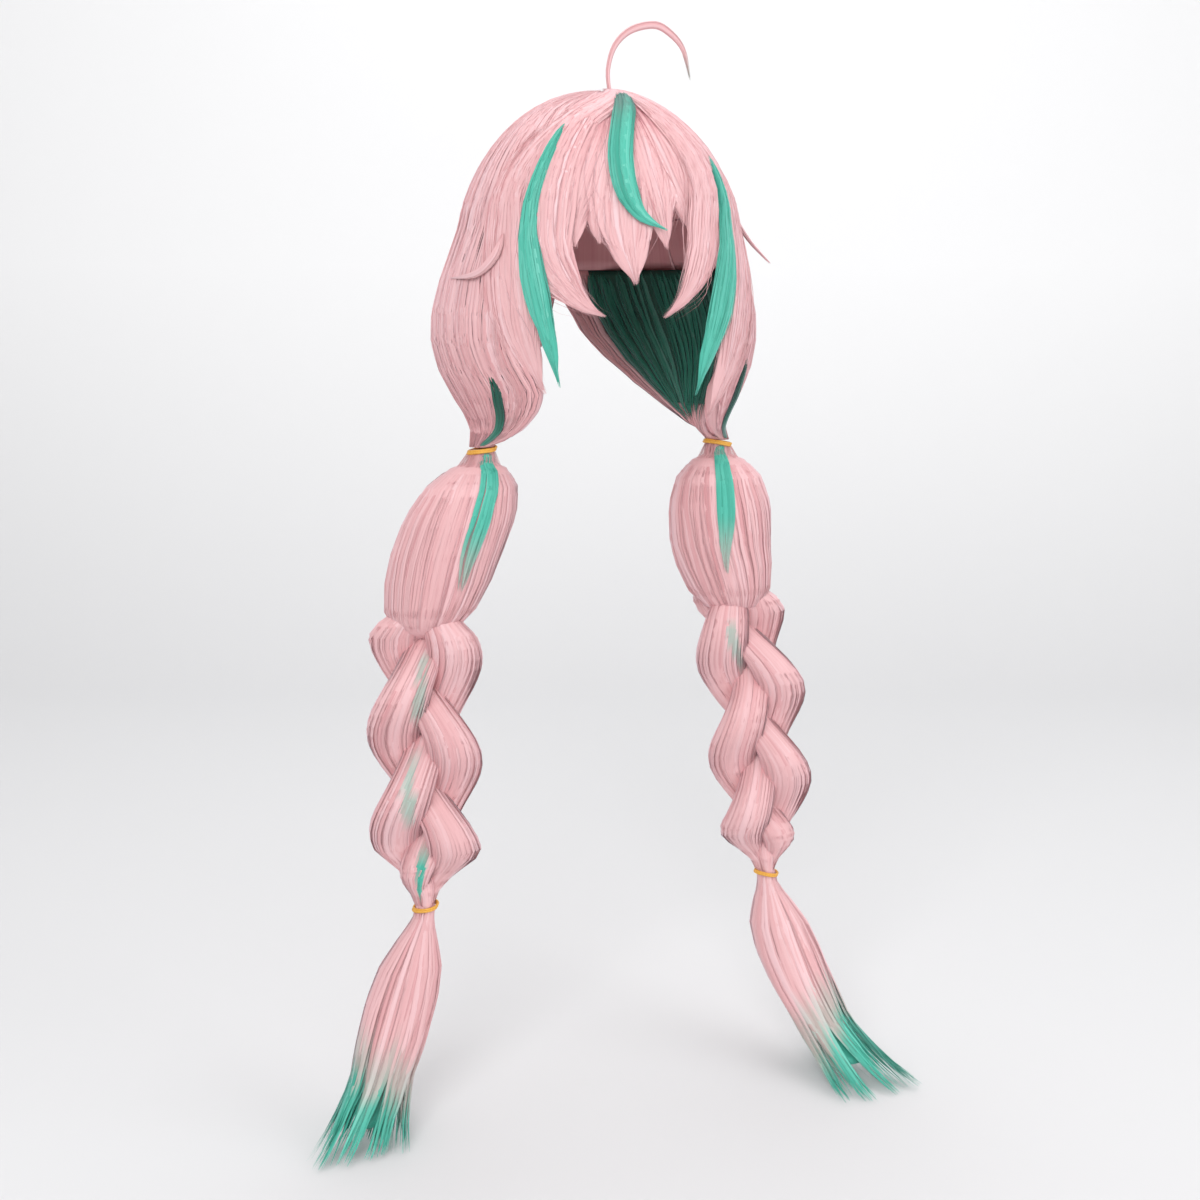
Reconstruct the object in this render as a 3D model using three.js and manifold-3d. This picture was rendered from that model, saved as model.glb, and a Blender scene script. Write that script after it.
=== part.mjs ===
// Braided cosplay wig. A hollow crown of hair carries a fringe, face locks and a curled antenna lock.
// The side hair gathers into two low pigtails, each tied, puffed out, braided in three strands,
// tied again and left loose at the end.
// Millimetres, +Z up. The wig faces -Y and the wearer's left is +X.
// The origin is the inside top of the crown, where the top of the head sits.
import * as THREE from "three";
import { mergeVertices } from "three/addons/utils/BufferGeometryUtils.js";
import Module from "manifold-3d";

const wasm = await Module();
wasm.setup();

// Head hollow
const HEAD_WIDTH = 152;
const HEAD_LENGTH = 188;
const HEAD_RISE = 96; // inside top of the crown above the widest line of the head
const HEAD_BACK_SHIFT = 5; // the head's centre lies this far behind the origin

// Hair on the crown
const CROWN_TOP = 20;
const CROWN_SIDE = 41;
const CROWN_FRONT = 12;
const CROWN_BACK = 25;
const WALL = 26; // thickness of the hanging hair
const FACE_RIM = 0.6; // the crown's rim over the face, as a fall value
const FACE_TURN = 30; // degrees from the middle over which that rim is level
const FACE_EDGE_TURN = 34; // degrees over which it then drops to the side hair
const FLARE = 8; // how late the dome widens to the hanging hair

// Hanging hair down to the upper ties
const HAIR_WIDTH = 308;
const HAIR_FRONT = 110; // reach in front of the head's centre
const HAIR_BACK = 127;
const TIE_DROP = 303; // upper ties below the origin
const TIE_SPREAD = 119; // upper ties from the middle plane
const TIE_FORWARD = 8;
const NECK_RADIUS = 11; // hair bunched inside the elastic

// Elastics
const BAND_WIRE = 4.4;
const BAND_SLANT = 0.16; // radians

// Pigtails
const BULGE_LENGTH = 178;
const BULGE_WIDTH = 106;
const BULGE_DEPTH = 74;
const BRAID_SPREAD = 174; // braid's axis from the middle plane
const BRAID_BACK = 13;
const BRAID_PERIOD = 294;
const BRAID_SWAY = 28; // how far each strand swings sideways
const BRAID_WEAVE = 15; // how far each strand swings forward and back
const STRAND_WIDTH = 54;
const STRAND_DEPTH = 32;
const STRAND_CROSSING = 0.72; // strand's size where it crosses, as a share of its size in a lobe
const BRAID_TOP = 0.84; // where the strands begin, as a share of the bulge's length
const BRAID_OPEN = 30; // drop over which they open out there
const BRAID_BEGIN = 0.55; // how far they are open at their top
const BRAID_CLOSE = 62; // drop over which they draw in to the lower tie
const BUNCH_TURN = 0.5; // radians that the bunch is turned by in the lower elastic
const RIGHT_LOBE_DROP = 163; // first outer lobe's widest place below the upper tie
const LEFT_LOBE_DROP = 173;
const RIGHT_LOWER_TIE_DROP = 750;
const LEFT_LOWER_TIE_DROP = 764;
const LOWER_NECK_RADIUS = 10;
const FLOOR_DROP = 966; // lowest tips below the origin
const TAIL_WIDTH = 80;
const TAIL_DEPTH = 44;
const TAIL_LOCKS = 8;
const RIGHT_TAIL_OUT = 84; // tips outwards from the lower tie
const LEFT_TAIL_OUT = 66;
const RIGHT_TAIL_FORWARD = 66; // tips in front of the lower tie
const LEFT_TAIL_FORWARD = 130;

// Locks
const LOCK_THICKNESS = 6;
const FRINGE_WIDTH = 34;
const FORELOCK_WIDTH = 13;
const FACE_LOCK_WIDTH = 36;
const TEAL_LOCK_WIDTH = 15;
const CHEEK_LOCK_WIDTH = 34;
const FLICK_WIDTH = 8;
const UNDER_LOCK_WIDTH = 9;
const UNDER_LOCK_THICKNESS = 4;
const NAPE_THICKNESS = 5;
const FRONT_SAG = 2.2; // how much later the side hair's front edge draws in to the tie than its back
const NAPE_FIRST = 4; // point of the side hair's inner wall, from the front, where it begins
const NAPE_END = 0.6; // gather at which the nape hair ends
const ANTENNA_TURN = 10; // degrees from the middle of the face
const ANTENNA_FALL = 0.12;
const ANTENNA_HEIGHT = 60;
const ANTENNA_SPAN = 80;
const ANTENNA_WIDTH = 7;
const ANTENNA_THICKNESS = 3;

const GAP = 0.3; // between neighbours
const LOCK_SEAT = 0.8; // under a lock that lies on curved hair
const SECTION_SIDES = 6;
const BULGE_SIDES = 16;
const STRAND_SIDES = 8;
const STRAND_STEPS = 14;
const SIDE_OUTER = 15; // points across the side hair's outer wall
const SIDE_INNER = 13; // points across its inner wall
const BAND_SIDES = 5;
const BAND_STEPS = 14;
const DEG = Math.PI / 180;

// Outer form of the hanging hair: fall is 1 at the head's widest line and 2 at the upper tie,
// side is a share of half the hair's width, front and back are shares of its reach.
const FALL = [
  { fall: 1.0, side: 0.81, front: 1.0, back: 0.99 },
  { fall: 1.12, side: 0.88, front: 1.02, back: 1.0 },
  { fall: 1.25, side: 0.94, front: 1.02, back: 0.98 },
  { fall: 1.4, side: 0.99, front: 1.01, back: 0.93 },
  { fall: 1.52, side: 1.0, front: 0.99, back: 0.86 },
  { fall: 1.65, side: 0.97, front: 0.96, back: 0.79 },
  { fall: 1.78, side: 0.9, front: 0.93, back: 0.72 },
  { fall: 1.92, side: 0.78, front: 0.9, back: 0.66 },
  { fall: 2.15, side: 0.68, front: 0.86, back: 0.63 },
];

// Locks: around is the angle from the face's middle, positive to the wearer's left, fall as above,
// wide and thick are shares of the lock's own sizes, lift is a share of its thickness.
const FRINGE = [
  [
    { around: -15, fall: 0.36, wide: 0.35, thick: 0.5 },
    { around: -19.3, fall: 0.587, wide: 0.85, thick: 0.9 },
    { around: -25.5, fall: 0.8, wide: 1.0, thick: 1.0 },
    { around: -28, fall: 0.98, wide: 0.8, thick: 0.9 },
    { around: -25.1, fall: 1.14, wide: 0.14, thick: 0.3 },
  ],
  [
    { around: -9, fall: 0.38, wide: 0.3, thick: 0.5 },
    { around: -12.1, fall: 0.586, wide: 0.62, thick: 0.9 },
    { around: -14.8, fall: 0.8, wide: 0.75, thick: 1.0 },
    { around: -16.8, fall: 1.0, wide: 0.55, thick: 0.8 },
    { around: -16.1, fall: 1.12, wide: 0.12, thick: 0.3 },
  ],
  [
    { around: -4, fall: 0.42, wide: 0.3, thick: 0.5 },
    { around: -5.5, fall: 0.6, wide: 0.6, thick: 0.8 },
    { around: -6.5, fall: 0.8, wide: 0.85, thick: 1.0 },
    { around: -7.0, fall: 0.96, wide: 1.0, thick: 1.0 },
    { around: -5.4, fall: 1.13, wide: 0.8, thick: 0.9 },
    { around: -2.4, fall: 1.285, wide: 0.12, thick: 0.3 },
  ],
  [
    { around: 4, fall: 0.4, wide: 0.3, thick: 0.5 },
    { around: 4, fall: 0.65, wide: 0.7, thick: 0.9 },
    { around: 6.5, fall: 0.9, wide: 0.8, thick: 1.0 },
    { around: 9.5, fall: 1.14, wide: 0.12, thick: 0.3 },
  ],
  [
    { around: 10, fall: 0.38, wide: 0.35, thick: 0.5 },
    { around: 12.5, fall: 0.6, wide: 0.8, thick: 0.9 },
    { around: 17.5, fall: 0.84, wide: 0.85, thick: 1.0 },
    { around: 20.9, fall: 1.06, wide: 0.14, thick: 0.3 },
  ],
];
const FORELOCK = [
  { around: 3, fall: 0.32, wide: 0.8, thick: 0.7, lift: 0.4 },
  { around: -1.5, fall: 0.45, wide: 1.0, thick: 0.9, lift: 0.8 },
  { around: -6, fall: 0.58, wide: 1.0, thick: 1.0, lift: 1.0 },
  { around: -8.8, fall: 0.74, wide: 1.05, thick: 1.0, lift: 1.0 },
  { around: -7.4, fall: 0.89, wide: 1.0, thick: 1.0, lift: 1.0 },
  { around: -1.8, fall: 1.0, wide: 0.8, thick: 0.8, lift: 1.0 },
  { around: 9, fall: 1.06, wide: 0.15, thick: 0.3, lift: 1.0 },
];
const RIGHT_FACE_LOCK = [
  { around: -17, fall: 0.3, wide: 0.3, thick: 0.5, lift: 0.1 },
  { around: -26, fall: 0.47, wide: 0.7, thick: 0.9, lift: 0.3 },
  { around: -34.5, fall: 0.7, wide: 0.95, thick: 1.0, lift: 0.5 },
  { around: -37.5, fall: 0.94, wide: 1.0, thick: 1.0, lift: 0.5 },
  { around: -35.2, fall: 1.123, wide: 0.8, thick: 1.0, lift: 0.5 },
  { around: -28, fall: 1.264, wide: 0.58, thick: 0.9, lift: 0.5 },
  { around: -19.6, fall: 1.37, wide: 0.3, thick: 0.7, lift: 0.5 },
  { around: -12.4, fall: 1.415, wide: 0.08, thick: 0.3, lift: 0.5 },
];
const LEFT_FACE_LOCK = [
  { around: 15, fall: 0.3, wide: 0.3, thick: 0.5, lift: 0.1 },
  { around: 21, fall: 0.47, wide: 0.6, thick: 0.9, lift: 0.3 },
  { around: 28, fall: 0.69, wide: 0.75, thick: 1.0, lift: 0.5 },
  { around: 29.5, fall: 0.88, wide: 0.72, thick: 1.0, lift: 0.5 },
  { around: 25.5, fall: 1.074, wide: 0.6, thick: 1.0, lift: 0.5 },
  { around: 20, fall: 1.24, wide: 0.42, thick: 0.9, lift: 0.5 },
  { around: 14.2, fall: 1.345, wide: 0.25, thick: 0.7, lift: 0.5 },
  { around: 7.1, fall: 1.42, wide: 0.08, thick: 0.3, lift: 0.5 },
];
const RIGHT_TEAL_LOCK = [
  { around: -35, fall: 0.55, wide: 0.2, thick: 0.4, lift: 0.8 },
  { around: -38, fall: 0.658, wide: 0.35, thick: 0.7, lift: 1.0 },
  { around: -42, fall: 0.85, wide: 0.5, thick: 0.8, lift: 1.1 },
  { around: -43.6, fall: 1.021, wide: 0.6, thick: 0.8, lift: 1.1 },
  { around: -39.5, fall: 1.183, wide: 0.75, thick: 0.9, lift: 1.1 },
  { around: -34.5, fall: 1.346, wide: 0.75, thick: 0.9, lift: 1.1 },
  { around: -30, fall: 1.53, wide: 0.6, thick: 0.8, lift: 1.1 },
  { around: -28, fall: 1.711, wide: 0.1, thick: 0.3, lift: 0.9 },
];
const LEFT_TEAL_LOCK = [
  { around: 42, fall: 0.6, wide: 0.3, thick: 0.4, lift: 0.4 },
  { around: 43.5, fall: 0.728, wide: 0.55, thick: 0.7, lift: 0.5 },
  { around: 43.3, fall: 0.917, wide: 0.85, thick: 0.8, lift: 0.6 },
  { around: 41, fall: 1.069, wide: 1.05, thick: 0.8, lift: 0.6 },
  { around: 35, fall: 1.239, wide: 1.25, thick: 0.9, lift: 0.6 },
  { around: 29.5, fall: 1.408, wide: 1.15, thick: 0.9, lift: 0.6 },
  { around: 25, fall: 1.578, wide: 0.85, thick: 0.8, lift: 0.6 },
  { around: 23.3, fall: 1.755, wide: 0.12, thick: 0.3, lift: 0.5 },
];
const RIGHT_CHEEK_LOCK = [
  { around: -50, fall: 0.55, wide: 0.3, thick: 0.5, lift: 0 },
  { around: -54, fall: 0.75, wide: 0.7, thick: 0.8, lift: 0 },
  { around: -54.5, fall: 0.95, wide: 1.0, thick: 1.0, lift: 0.2 },
  { around: -50.5, fall: 1.17, wide: 1.0, thick: 1.0, lift: 0.2 },
  { around: -45, fall: 1.386, wide: 0.9, thick: 1.0, lift: 0 },
  { around: -40, fall: 1.572, wide: 0.7, thick: 0.8, lift: 0 },
  { around: -34.3, fall: 1.74, wide: 0.12, thick: 0.3, lift: 0 },
];
const LEFT_CHEEK_LOCK = [
  { around: 50, fall: 0.55, wide: 0.3, thick: 0.5, lift: 0 },
  { around: 53, fall: 0.75, wide: 0.7, thick: 0.8, lift: 0 },
  { around: 52.5, fall: 0.95, wide: 1.0, thick: 1.0, lift: 0.2 },
  { around: 47.5, fall: 1.19, wide: 1.0, thick: 1.0, lift: 0.2 },
  { around: 42.3, fall: 1.43, wide: 0.9, thick: 1.0, lift: 0 },
  { around: 38, fall: 1.668, wide: 0.7, thick: 0.8, lift: 0 },
  { around: 36.2, fall: 1.87, wide: 0.12, thick: 0.3, lift: 0 },
];
const RIGHT_FLICK = [
  { around: -53, fall: 1.07, wide: 0.4, thick: 0.4, lift: 1.25 },
  { around: -54.5, fall: 1.17, wide: 1.0, thick: 0.7, lift: 1.3 },
  { around: -63, fall: 1.24, wide: 0.8, thick: 0.6, lift: 0.9 },
  { around: -84, fall: 1.252, wide: 0.2, thick: 0.3, lift: 0.1 },
];
const LEFT_FLICK = [
  { around: 64, fall: 0.88, wide: 0.4, thick: 0.4, lift: 0 },
  { around: 66, fall: 1.0, wide: 1.0, thick: 0.7, lift: 0.2 },
  { around: 69, fall: 1.1, wide: 0.7, thick: 0.5, lift: 1.8 },
  { around: 75, fall: 1.18, wide: 0.2, thick: 0.3, lift: 4.2 },
];
// Under lock: share is its place across the side hair's outer wall, wide and thick as above.
const UNDER_LOCK = [
  { fall: 1.6, share: 0.1, wide: 0.4, thick: 0.5 },
  { fall: 1.7, share: 0.09, wide: 0.9, thick: 1.0 },
  { fall: 1.8, share: 0.09, wide: 1.0, thick: 1.0 },
  { fall: 1.88, share: 0.1, wide: 0.9, thick: 1.0 },
  { fall: 1.94, share: 0.12, wide: 0.6, thick: 0.8 },
  { fall: 1.975, share: 0.14, wide: 0.35, thick: 0.6 },
];
const ANTENNA = [
  { out: 0, up: 0, wide: 0.45 },
  { out: -0.02, up: 0.31, wide: 0.55 },
  { out: 0.06, up: 0.66, wide: 0.75 },
  { out: 0.25, up: 0.9, wide: 0.95 },
  { out: 0.53, up: 1.0, wide: 1.0 },
  { out: 0.72, up: 0.91, wide: 0.9 },
  { out: 0.9, up: 0.665, wide: 0.65 },
  { out: 0.995, up: 0.21, wide: 0.2 },
];

// Side hair: from and to are the angles between which it hangs at each fall, gather is how far its
// section has drawn in to the bunch at the upper tie.
const SIDE_HAIR = [
  { fall: 1.2, from: 46, to: 178, gather: 0 },
  { fall: 1.35, from: 44, to: 176, gather: 0 },
  { fall: 1.5, from: 43, to: 172, gather: 0.03 },
  { fall: 1.62, from: 43, to: 166, gather: 0.1 },
  { fall: 1.73, from: 44, to: 160, gather: 0.24 },
  { fall: 1.82, from: 46, to: 154, gather: 0.42 },
  { fall: 1.9, from: 48, to: 148, gather: 0.66 },
  { fall: 1.96, from: 50, to: 144, gather: 0.9 },
  { fall: 1.985, from: 50, to: 144, gather: 1 },
];

// Middle of each pigtail between its ties: down is a share of the way from the upper tie to the
// lower one, out is a share of the braid's spread.
const RIGHT_AXIS = [
  { down: 0, out: 0.684 },
  { down: 0.015, out: 0.684 },
  { down: 0.1, out: 0.76 },
  { down: 0.22, out: 0.87 },
  { down: 0.36, out: 0.97 },
  { down: 0.5, out: 1.0 },
  { down: 0.8, out: 1.0 },
  { down: 1, out: 1.02 },
];
const LEFT_AXIS = [
  { down: 0, out: 0.684 },
  { down: 0.015, out: 0.684 },
  { down: 0.1, out: 0.71 },
  { down: 0.22, out: 0.75 },
  { down: 0.35, out: 0.85 },
  { down: 0.55, out: 1.0 },
  { down: 0.77, out: 1.06 },
  { down: 1, out: 1.11 },
];

// Bulge under the upper tie: down is a share of its length, wide and deep are shares of its
// half width and half depth, and neck is how far its section is still the bunch in the elastic.
const BULGE = [
  { down: 0.0, wide: 0, deep: 0, neck: 1 },
  { down: 0.025, wide: 0, deep: 0, neck: 1 },
  { down: 0.09, wide: 0.5, deep: 0.55 },
  { down: 0.19, wide: 0.82, deep: 0.86 },
  { down: 0.34, wide: 0.99, deep: 1.0 },
  { down: 0.52, wide: 1.0, deep: 1.0 },
  { down: 0.7, wide: 0.95, deep: 0.92 },
  { down: 0.85, wide: 0.82, deep: 0.78 },
  { down: 0.95, wide: 0.55, deep: 0.5 },
  { down: 1.0, wide: 0.16, deep: 0.16 },
];

// Teal streak on the front of the bulge: turn is the angle from straight ahead, outwards.
const STREAK = [
  { down: 0.05, turn: -8, wide: 0.35 },
  { down: 0.14, turn: -11, wide: 0.8 },
  { down: 0.3, turn: -10, wide: 1.0 },
  { down: 0.5, turn: -11, wide: 0.9 },
  { down: 0.72, turn: -16, wide: 0.2 },
];
const STREAK_WIDTH = 17;
const STREAK_THICKNESS = 3;

// Tail: down is a share of its drop, wide and deep are shares of half its sizes, lean is how far
// its middle has moved towards where the tips lie, neck is as on the bulge, and core is the size of
// the core inside the locks, as a share of the tail there.
const TAIL = [
  { down: 0.0, wide: 0.3, deep: 0.4, lean: 0, neck: 1, core: 1 },
  { down: 0.03, wide: 0.3, deep: 0.4, lean: 0, neck: 1, core: 0.96 },
  { down: 0.14, wide: 0.5, deep: 0.62, lean: 0.09, core: 0.82 },
  { down: 0.28, wide: 0.88, deep: 0.92, lean: 0.2, core: 0.65 },
  { down: 0.42, wide: 1.0, deep: 1.0, lean: 0.32, core: 0.62 },
  { down: 0.58, wide: 0.98, deep: 0.95, lean: 0.47, core: 0.62 },
  { down: 0.74, wide: 0.9, deep: 0.85, lean: 0.64, core: 0.25 },
  { down: 0.88, wide: 1.1, deep: 0.95, lean: 0.83 },
  { down: 1.0, wide: 1.4, deep: 1.2, lean: 1 },
];
const CORE_SIDES = 10;

// Each side's own values: side is its sign on X.
const SIDES = {
  right: {
    side: -1,
    axis: RIGHT_AXIS,
    lowerTieDrop: RIGHT_LOWER_TIE_DROP,
    lobeDrop: RIGHT_LOBE_DROP,
    tailOut: RIGHT_TAIL_OUT,
    tailForward: RIGHT_TAIL_FORWARD,
  },
  left: {
    side: 1,
    axis: LEFT_AXIS,
    lowerTieDrop: LEFT_LOWER_TIE_DROP,
    lobeDrop: LEFT_LOBE_DROP,
    tailOut: LEFT_TAIL_OUT,
    tailForward: LEFT_TAIL_FORWARD,
  },
};

const COLOURS = {
  pink: { color: 0xeab4bb, roughness: 0.42, metalness: 0 },
  teal: { color: 0x4fbfa4, roughness: 0.42, metalness: 0 },
  deepTeal: { color: 0x1f7f68, roughness: 0.5, metalness: 0 },
  elastic: { color: 0xe9a93c, roughness: 0.55, metalness: 0 },
};

const lerp = (a, b, t) => a + (b - a) * t;
const smooth = (t) => t * t * (3 - 2 * t);

// Value of one column of a table at a place along it, on a smooth curve through its rows.
function along(rows, key, t) {
  const last = rows.length - 1;
  const x = Math.min(Math.max(t, 0), 1) * last;
  const i = Math.min(Math.floor(x), last - 1);
  const at = (k) => rows[Math.min(Math.max(k, 0), last)][key] ?? 0;
  const [a, b, c, d] = [at(i - 1), at(i), at(i + 1), at(i + 2)];
  const u = x - i;
  const bend = (c - a) / 2;
  const next = (d - b) / 2;
  return (
    b + u * (bend + u * (3 * (c - b) - 2 * bend - next + u * (bend + next - 2 * (c - b))))
  );
}

// Value of one column at a given value of another, on straight lines between the rows.
function lookup(rows, key, by, value) {
  let i = rows.findIndex((row) => row[by] >= value);
  if (i < 0) i = rows.length - 1;
  if (i === 0) return rows[0][key] ?? 0;
  const t = (value - rows[i - 1][by]) / (rows[i][by] - rows[i - 1][by]);
  return lerp(rows[i - 1][key] ?? 0, rows[i][key] ?? 0, Math.min(t, 1));
}

// Height of a fall value: over the dome it follows the angle, below it runs down to the upper tie.
const fallHeight = (fall) => -HEAD_RISE - (fall - 1) * (TIE_DROP - HEAD_RISE);

// Point on an oval shell round the head's centre.
function shellPoint(around, fall, side, front, back, top) {
  const a = around * DEG;
  const tilt = Math.min(fall, 1) * 90 * DEG;
  const reach = Math.cos(a) > 0 ? front : back;
  return new THREE.Vector3(
    side * Math.sin(tilt) * Math.sin(a),
    HEAD_BACK_SHIFT - reach * Math.sin(tilt) * Math.cos(a),
    fall <= 1 ? top * Math.cos(tilt) - HEAD_RISE : fallHeight(fall),
  );
}

// Outer surface of the hair, raised by lift.
function hairPoint(around, fall, lift = 0) {
  const flare = Math.sin(Math.min(fall, 1) * 90 * DEG) ** FLARE;
  const row = (key) => lookup(FALL, key, "fall", Math.max(fall, 1));
  const side = lerp(HEAD_WIDTH / 2 + CROWN_SIDE, (row("side") * HAIR_WIDTH) / 2, flare);
  const front = lerp(HEAD_LENGTH / 2 + CROWN_FRONT, row("front") * HAIR_FRONT, flare);
  const back = lerp(HEAD_LENGTH / 2 + CROWN_BACK, row("back") * HAIR_BACK, flare);
  return shellPoint(around, fall, side + lift, front + lift, back + lift, HEAD_RISE + CROWN_TOP + lift);
}

// Inner surface: the head over the dome, then never more than the wall inside the outer surface.
function hollowPoint(around, fall) {
  const outer = hairPoint(around, fall, -WALL);
  const inner = shellPoint(
    around, fall, HEAD_WIDTH / 2, HEAD_LENGTH / 2, HEAD_LENGTH / 2, HEAD_RISE,
  );
  if (fall < 0.5) return inner;
  const blend = smooth(Math.min((fall - 0.5) / 0.5, 1));
  const reach = (p) => Math.hypot(p.x, p.y - HEAD_BACK_SHIFT);
  const share = Math.max(1, lerp(1, reach(outer) / reach(inner), blend));
  return new THREE.Vector3(
    inner.x * share,
    HEAD_BACK_SHIFT + (inner.y - HEAD_BACK_SHIFT) * share,
    inner.z,
  );
}

// Closed body from rings of equal length, its ends closed by strips, turned to face outwards.
function loft(rings) {
  const count = rings[0].length;
  const points = rings.flat();
  const faces = [];
  for (let r = 0; r + 1 < rings.length; r++)
    for (let i = 0; i < count; i++) {
      const j = (i + 1) % count;
      const [a, b, c, d] = [r * count + i, r * count + j, (r + 1) * count + j, (r + 1) * count + i];
      faces.push([a, b, c], [a, c, d]);
    }
  // The strip runs back and forth between a ring's first half and its last, which fills a crescent too
  const end = (start, flip) => {
    let [low, high] = [0, count - 1];
    for (let k = 0; k < count - 2; k++) {
      const third = k % 2 ? high - 1 : low + 1;
      const [a, b, c] = [start + low, start + third, start + high];
      faces.push(flip ? [a, c, b] : [a, b, c]);
      if (k % 2) high = third;
      else low = third;
    }
  };
  end(0, true);
  end((rings.length - 1) * count, false);
  return body(points, faces);
}

// Solid from points and faces, turned the right way out.
function body(points, faces) {
  let volume = 0;
  for (const [a, b, c] of faces)
    volume += points[a].dot(new THREE.Vector3().crossVectors(points[b], points[c]));
  const turned = volume < 0 ? faces.map(([a, b, c]) => [a, c, b]) : faces;
  const geometry = new THREE.BufferGeometry().setFromPoints(points);
  geometry.setIndex(turned.flat());
  return solid(geometry);
}

// Solid of a closed geometry.
function solid(geometry) {
  const bare = geometry.clone();
  bare.deleteAttribute("normal");
  bare.deleteAttribute("uv");
  const merged = mergeVertices(bare, 1e-3);
  return new wasm.Manifold(
    new wasm.Mesh({
      numProp: 3,
      vertProperties: new Float32Array(merged.attributes.position.array),
      triVerts: new Uint32Array(merged.index.array),
    }),
  );
}

// Largest separate body of a solid.
function largest(made) {
  return made.decompose().reduce((a, b) => (a.volume() > b.volume() ? a : b));
}

function cut(made, ...others) {
  return largest(others.reduce((left, other) => left.subtract(other), made));
}

function geometryOf(made) {
  const mesh = made.getMesh();
  const geometry = new THREE.BufferGeometry();
  geometry.setAttribute("position", new THREE.BufferAttribute(new Float32Array(mesh.vertProperties), 3));
  geometry.setIndex(new THREE.BufferAttribute(new Uint32Array(mesh.triVerts), 1));
  geometry.computeVertexNormals();
  return geometry;
}

const wig = new THREE.Group();
wig.name = "braided_wig";

function add(name, made, colour) {
  const mesh = new THREE.Mesh(geometryOf(made), new THREE.MeshStandardMaterial(COLOURS[colour]));
  mesh.name = name;
  wig.add(mesh);
}

// Crown: a dome of hair round the head hollow. Its lower rim is high over the face and low behind.
function crown() {
  const around = 30;
  const steps = 9;
  const rim = (angle) => {
    const past = (Math.abs(angle) - FACE_TURN) / FACE_EDGE_TURN;
    const behind = smooth(Math.min(Math.max(past, 0), 1));
    return lerp(FACE_RIM, SIDE_HAIR[0].fall - GAP / (TIE_DROP - HEAD_RISE), behind);
  };
  const points = [];
  const faces = [];
  const grid = (surface) => {
    const start = points.length;
    points.push(surface(0, 0));
    for (let k = 1; k <= steps; k++)
      for (let i = 0; i < around; i++) {
        const angle = (i * 360) / around - 180;
        points.push(surface(angle, (rim(angle) * k) / steps));
      }
    const at = (k, i) => start + 1 + (k - 1) * around + (i % around);
    return { start, at };
  };
  const outer = grid((angle, fall) => hairPoint(angle, fall));
  const inner = grid(hollowPoint);
  for (const [sheet, flip] of [[outer, false], [inner, true]]) {
    const push = (a, b, c) => faces.push(flip ? [a, c, b] : [a, b, c]);
    for (let i = 0; i < around; i++) {
      push(sheet.start, sheet.at(1, i), sheet.at(1, i + 1));
      for (let k = 1; k < steps; k++) {
        push(sheet.at(k, i), sheet.at(k + 1, i), sheet.at(k + 1, i + 1));
        push(sheet.at(k, i), sheet.at(k + 1, i + 1), sheet.at(k, i + 1));
      }
    }
  }
  for (let i = 0; i < around; i++) {
    faces.push([outer.at(steps, i), inner.at(steps, i), inner.at(steps, i + 1)]);
    faces.push([outer.at(steps, i), inner.at(steps, i + 1), outer.at(steps, i + 1)]);
  }
  return body(points, faces);
}

// Thickness of the side hair's wall at a share of its way round: it thins towards its edges.
const wallDepth = (share) => lerp(WALL / 3, WALL, Math.sin(Math.PI * share) ** 0.4);

// Point of the side hair: on its outer wall, or at a depth inside it, drawn in to the tie's bunch.
function sidePoint(side, fall, share, lift, inner) {
  const at = (key) => lookup(SIDE_HAIR, key, "fall", fall);
  const wall = hairPoint(side * lerp(at("from"), at("to"), share), fall, lift);
  const turn = (-90 + 180 * share) * DEG;
  const radius = NECK_RADIUS + (inner ? -lift - wallDepth(share) : lift);
  const bunch = new THREE.Vector3(
    side * (TIE_SPREAD + Math.cos(turn) * radius * (inner ? -1 : 1)),
    Math.sin(turn) * NECK_RADIUS - TIE_FORWARD,
    wall.z,
  );
  return wall.lerp(bunch, at("gather") ** (1 + FRONT_SAG * (1 - share) ** 2));
}

// Side hair: a curved wall round the side and back of the head, drawn in to the bunch at the tie.
function sideHair({ side }) {
  const rings = SIDE_HAIR.map(({ fall }) => {
    const ring = [];
    for (let i = 0; i < SIDE_OUTER; i++) ring.push(sidePoint(side, fall, i / (SIDE_OUTER - 1), 0, false));
    for (let i = SIDE_INNER; i >= 1; i--) {
      const share = i / (SIDE_INNER + 1);
      ring.push(sidePoint(side, fall, share, -wallDepth(share), true));
    }
    return ring;
  });
  return loft(rings);
}

// Nape hair: a thin dark layer that lines the side hair behind the head and draws in with it.
function napeHair({ side }) {
  const rings = SIDE_HAIR.filter(({ gather }) => gather < NAPE_END).map(({ fall }) => {
    const place = (i, depth) => {
      const share = i / (SIDE_INNER + 1);
      return sidePoint(side, fall, share, -wallDepth(share) - depth, true);
    };
    const ring = [];
    for (let i = SIDE_INNER; i >= NAPE_FIRST; i--) ring.push(place(i, GAP));
    for (let i = NAPE_FIRST; i <= SIDE_INNER; i++) ring.push(place(i, GAP + NAPE_THICKNESS));
    return ring;
  });
  return loft(rings);
}

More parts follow.
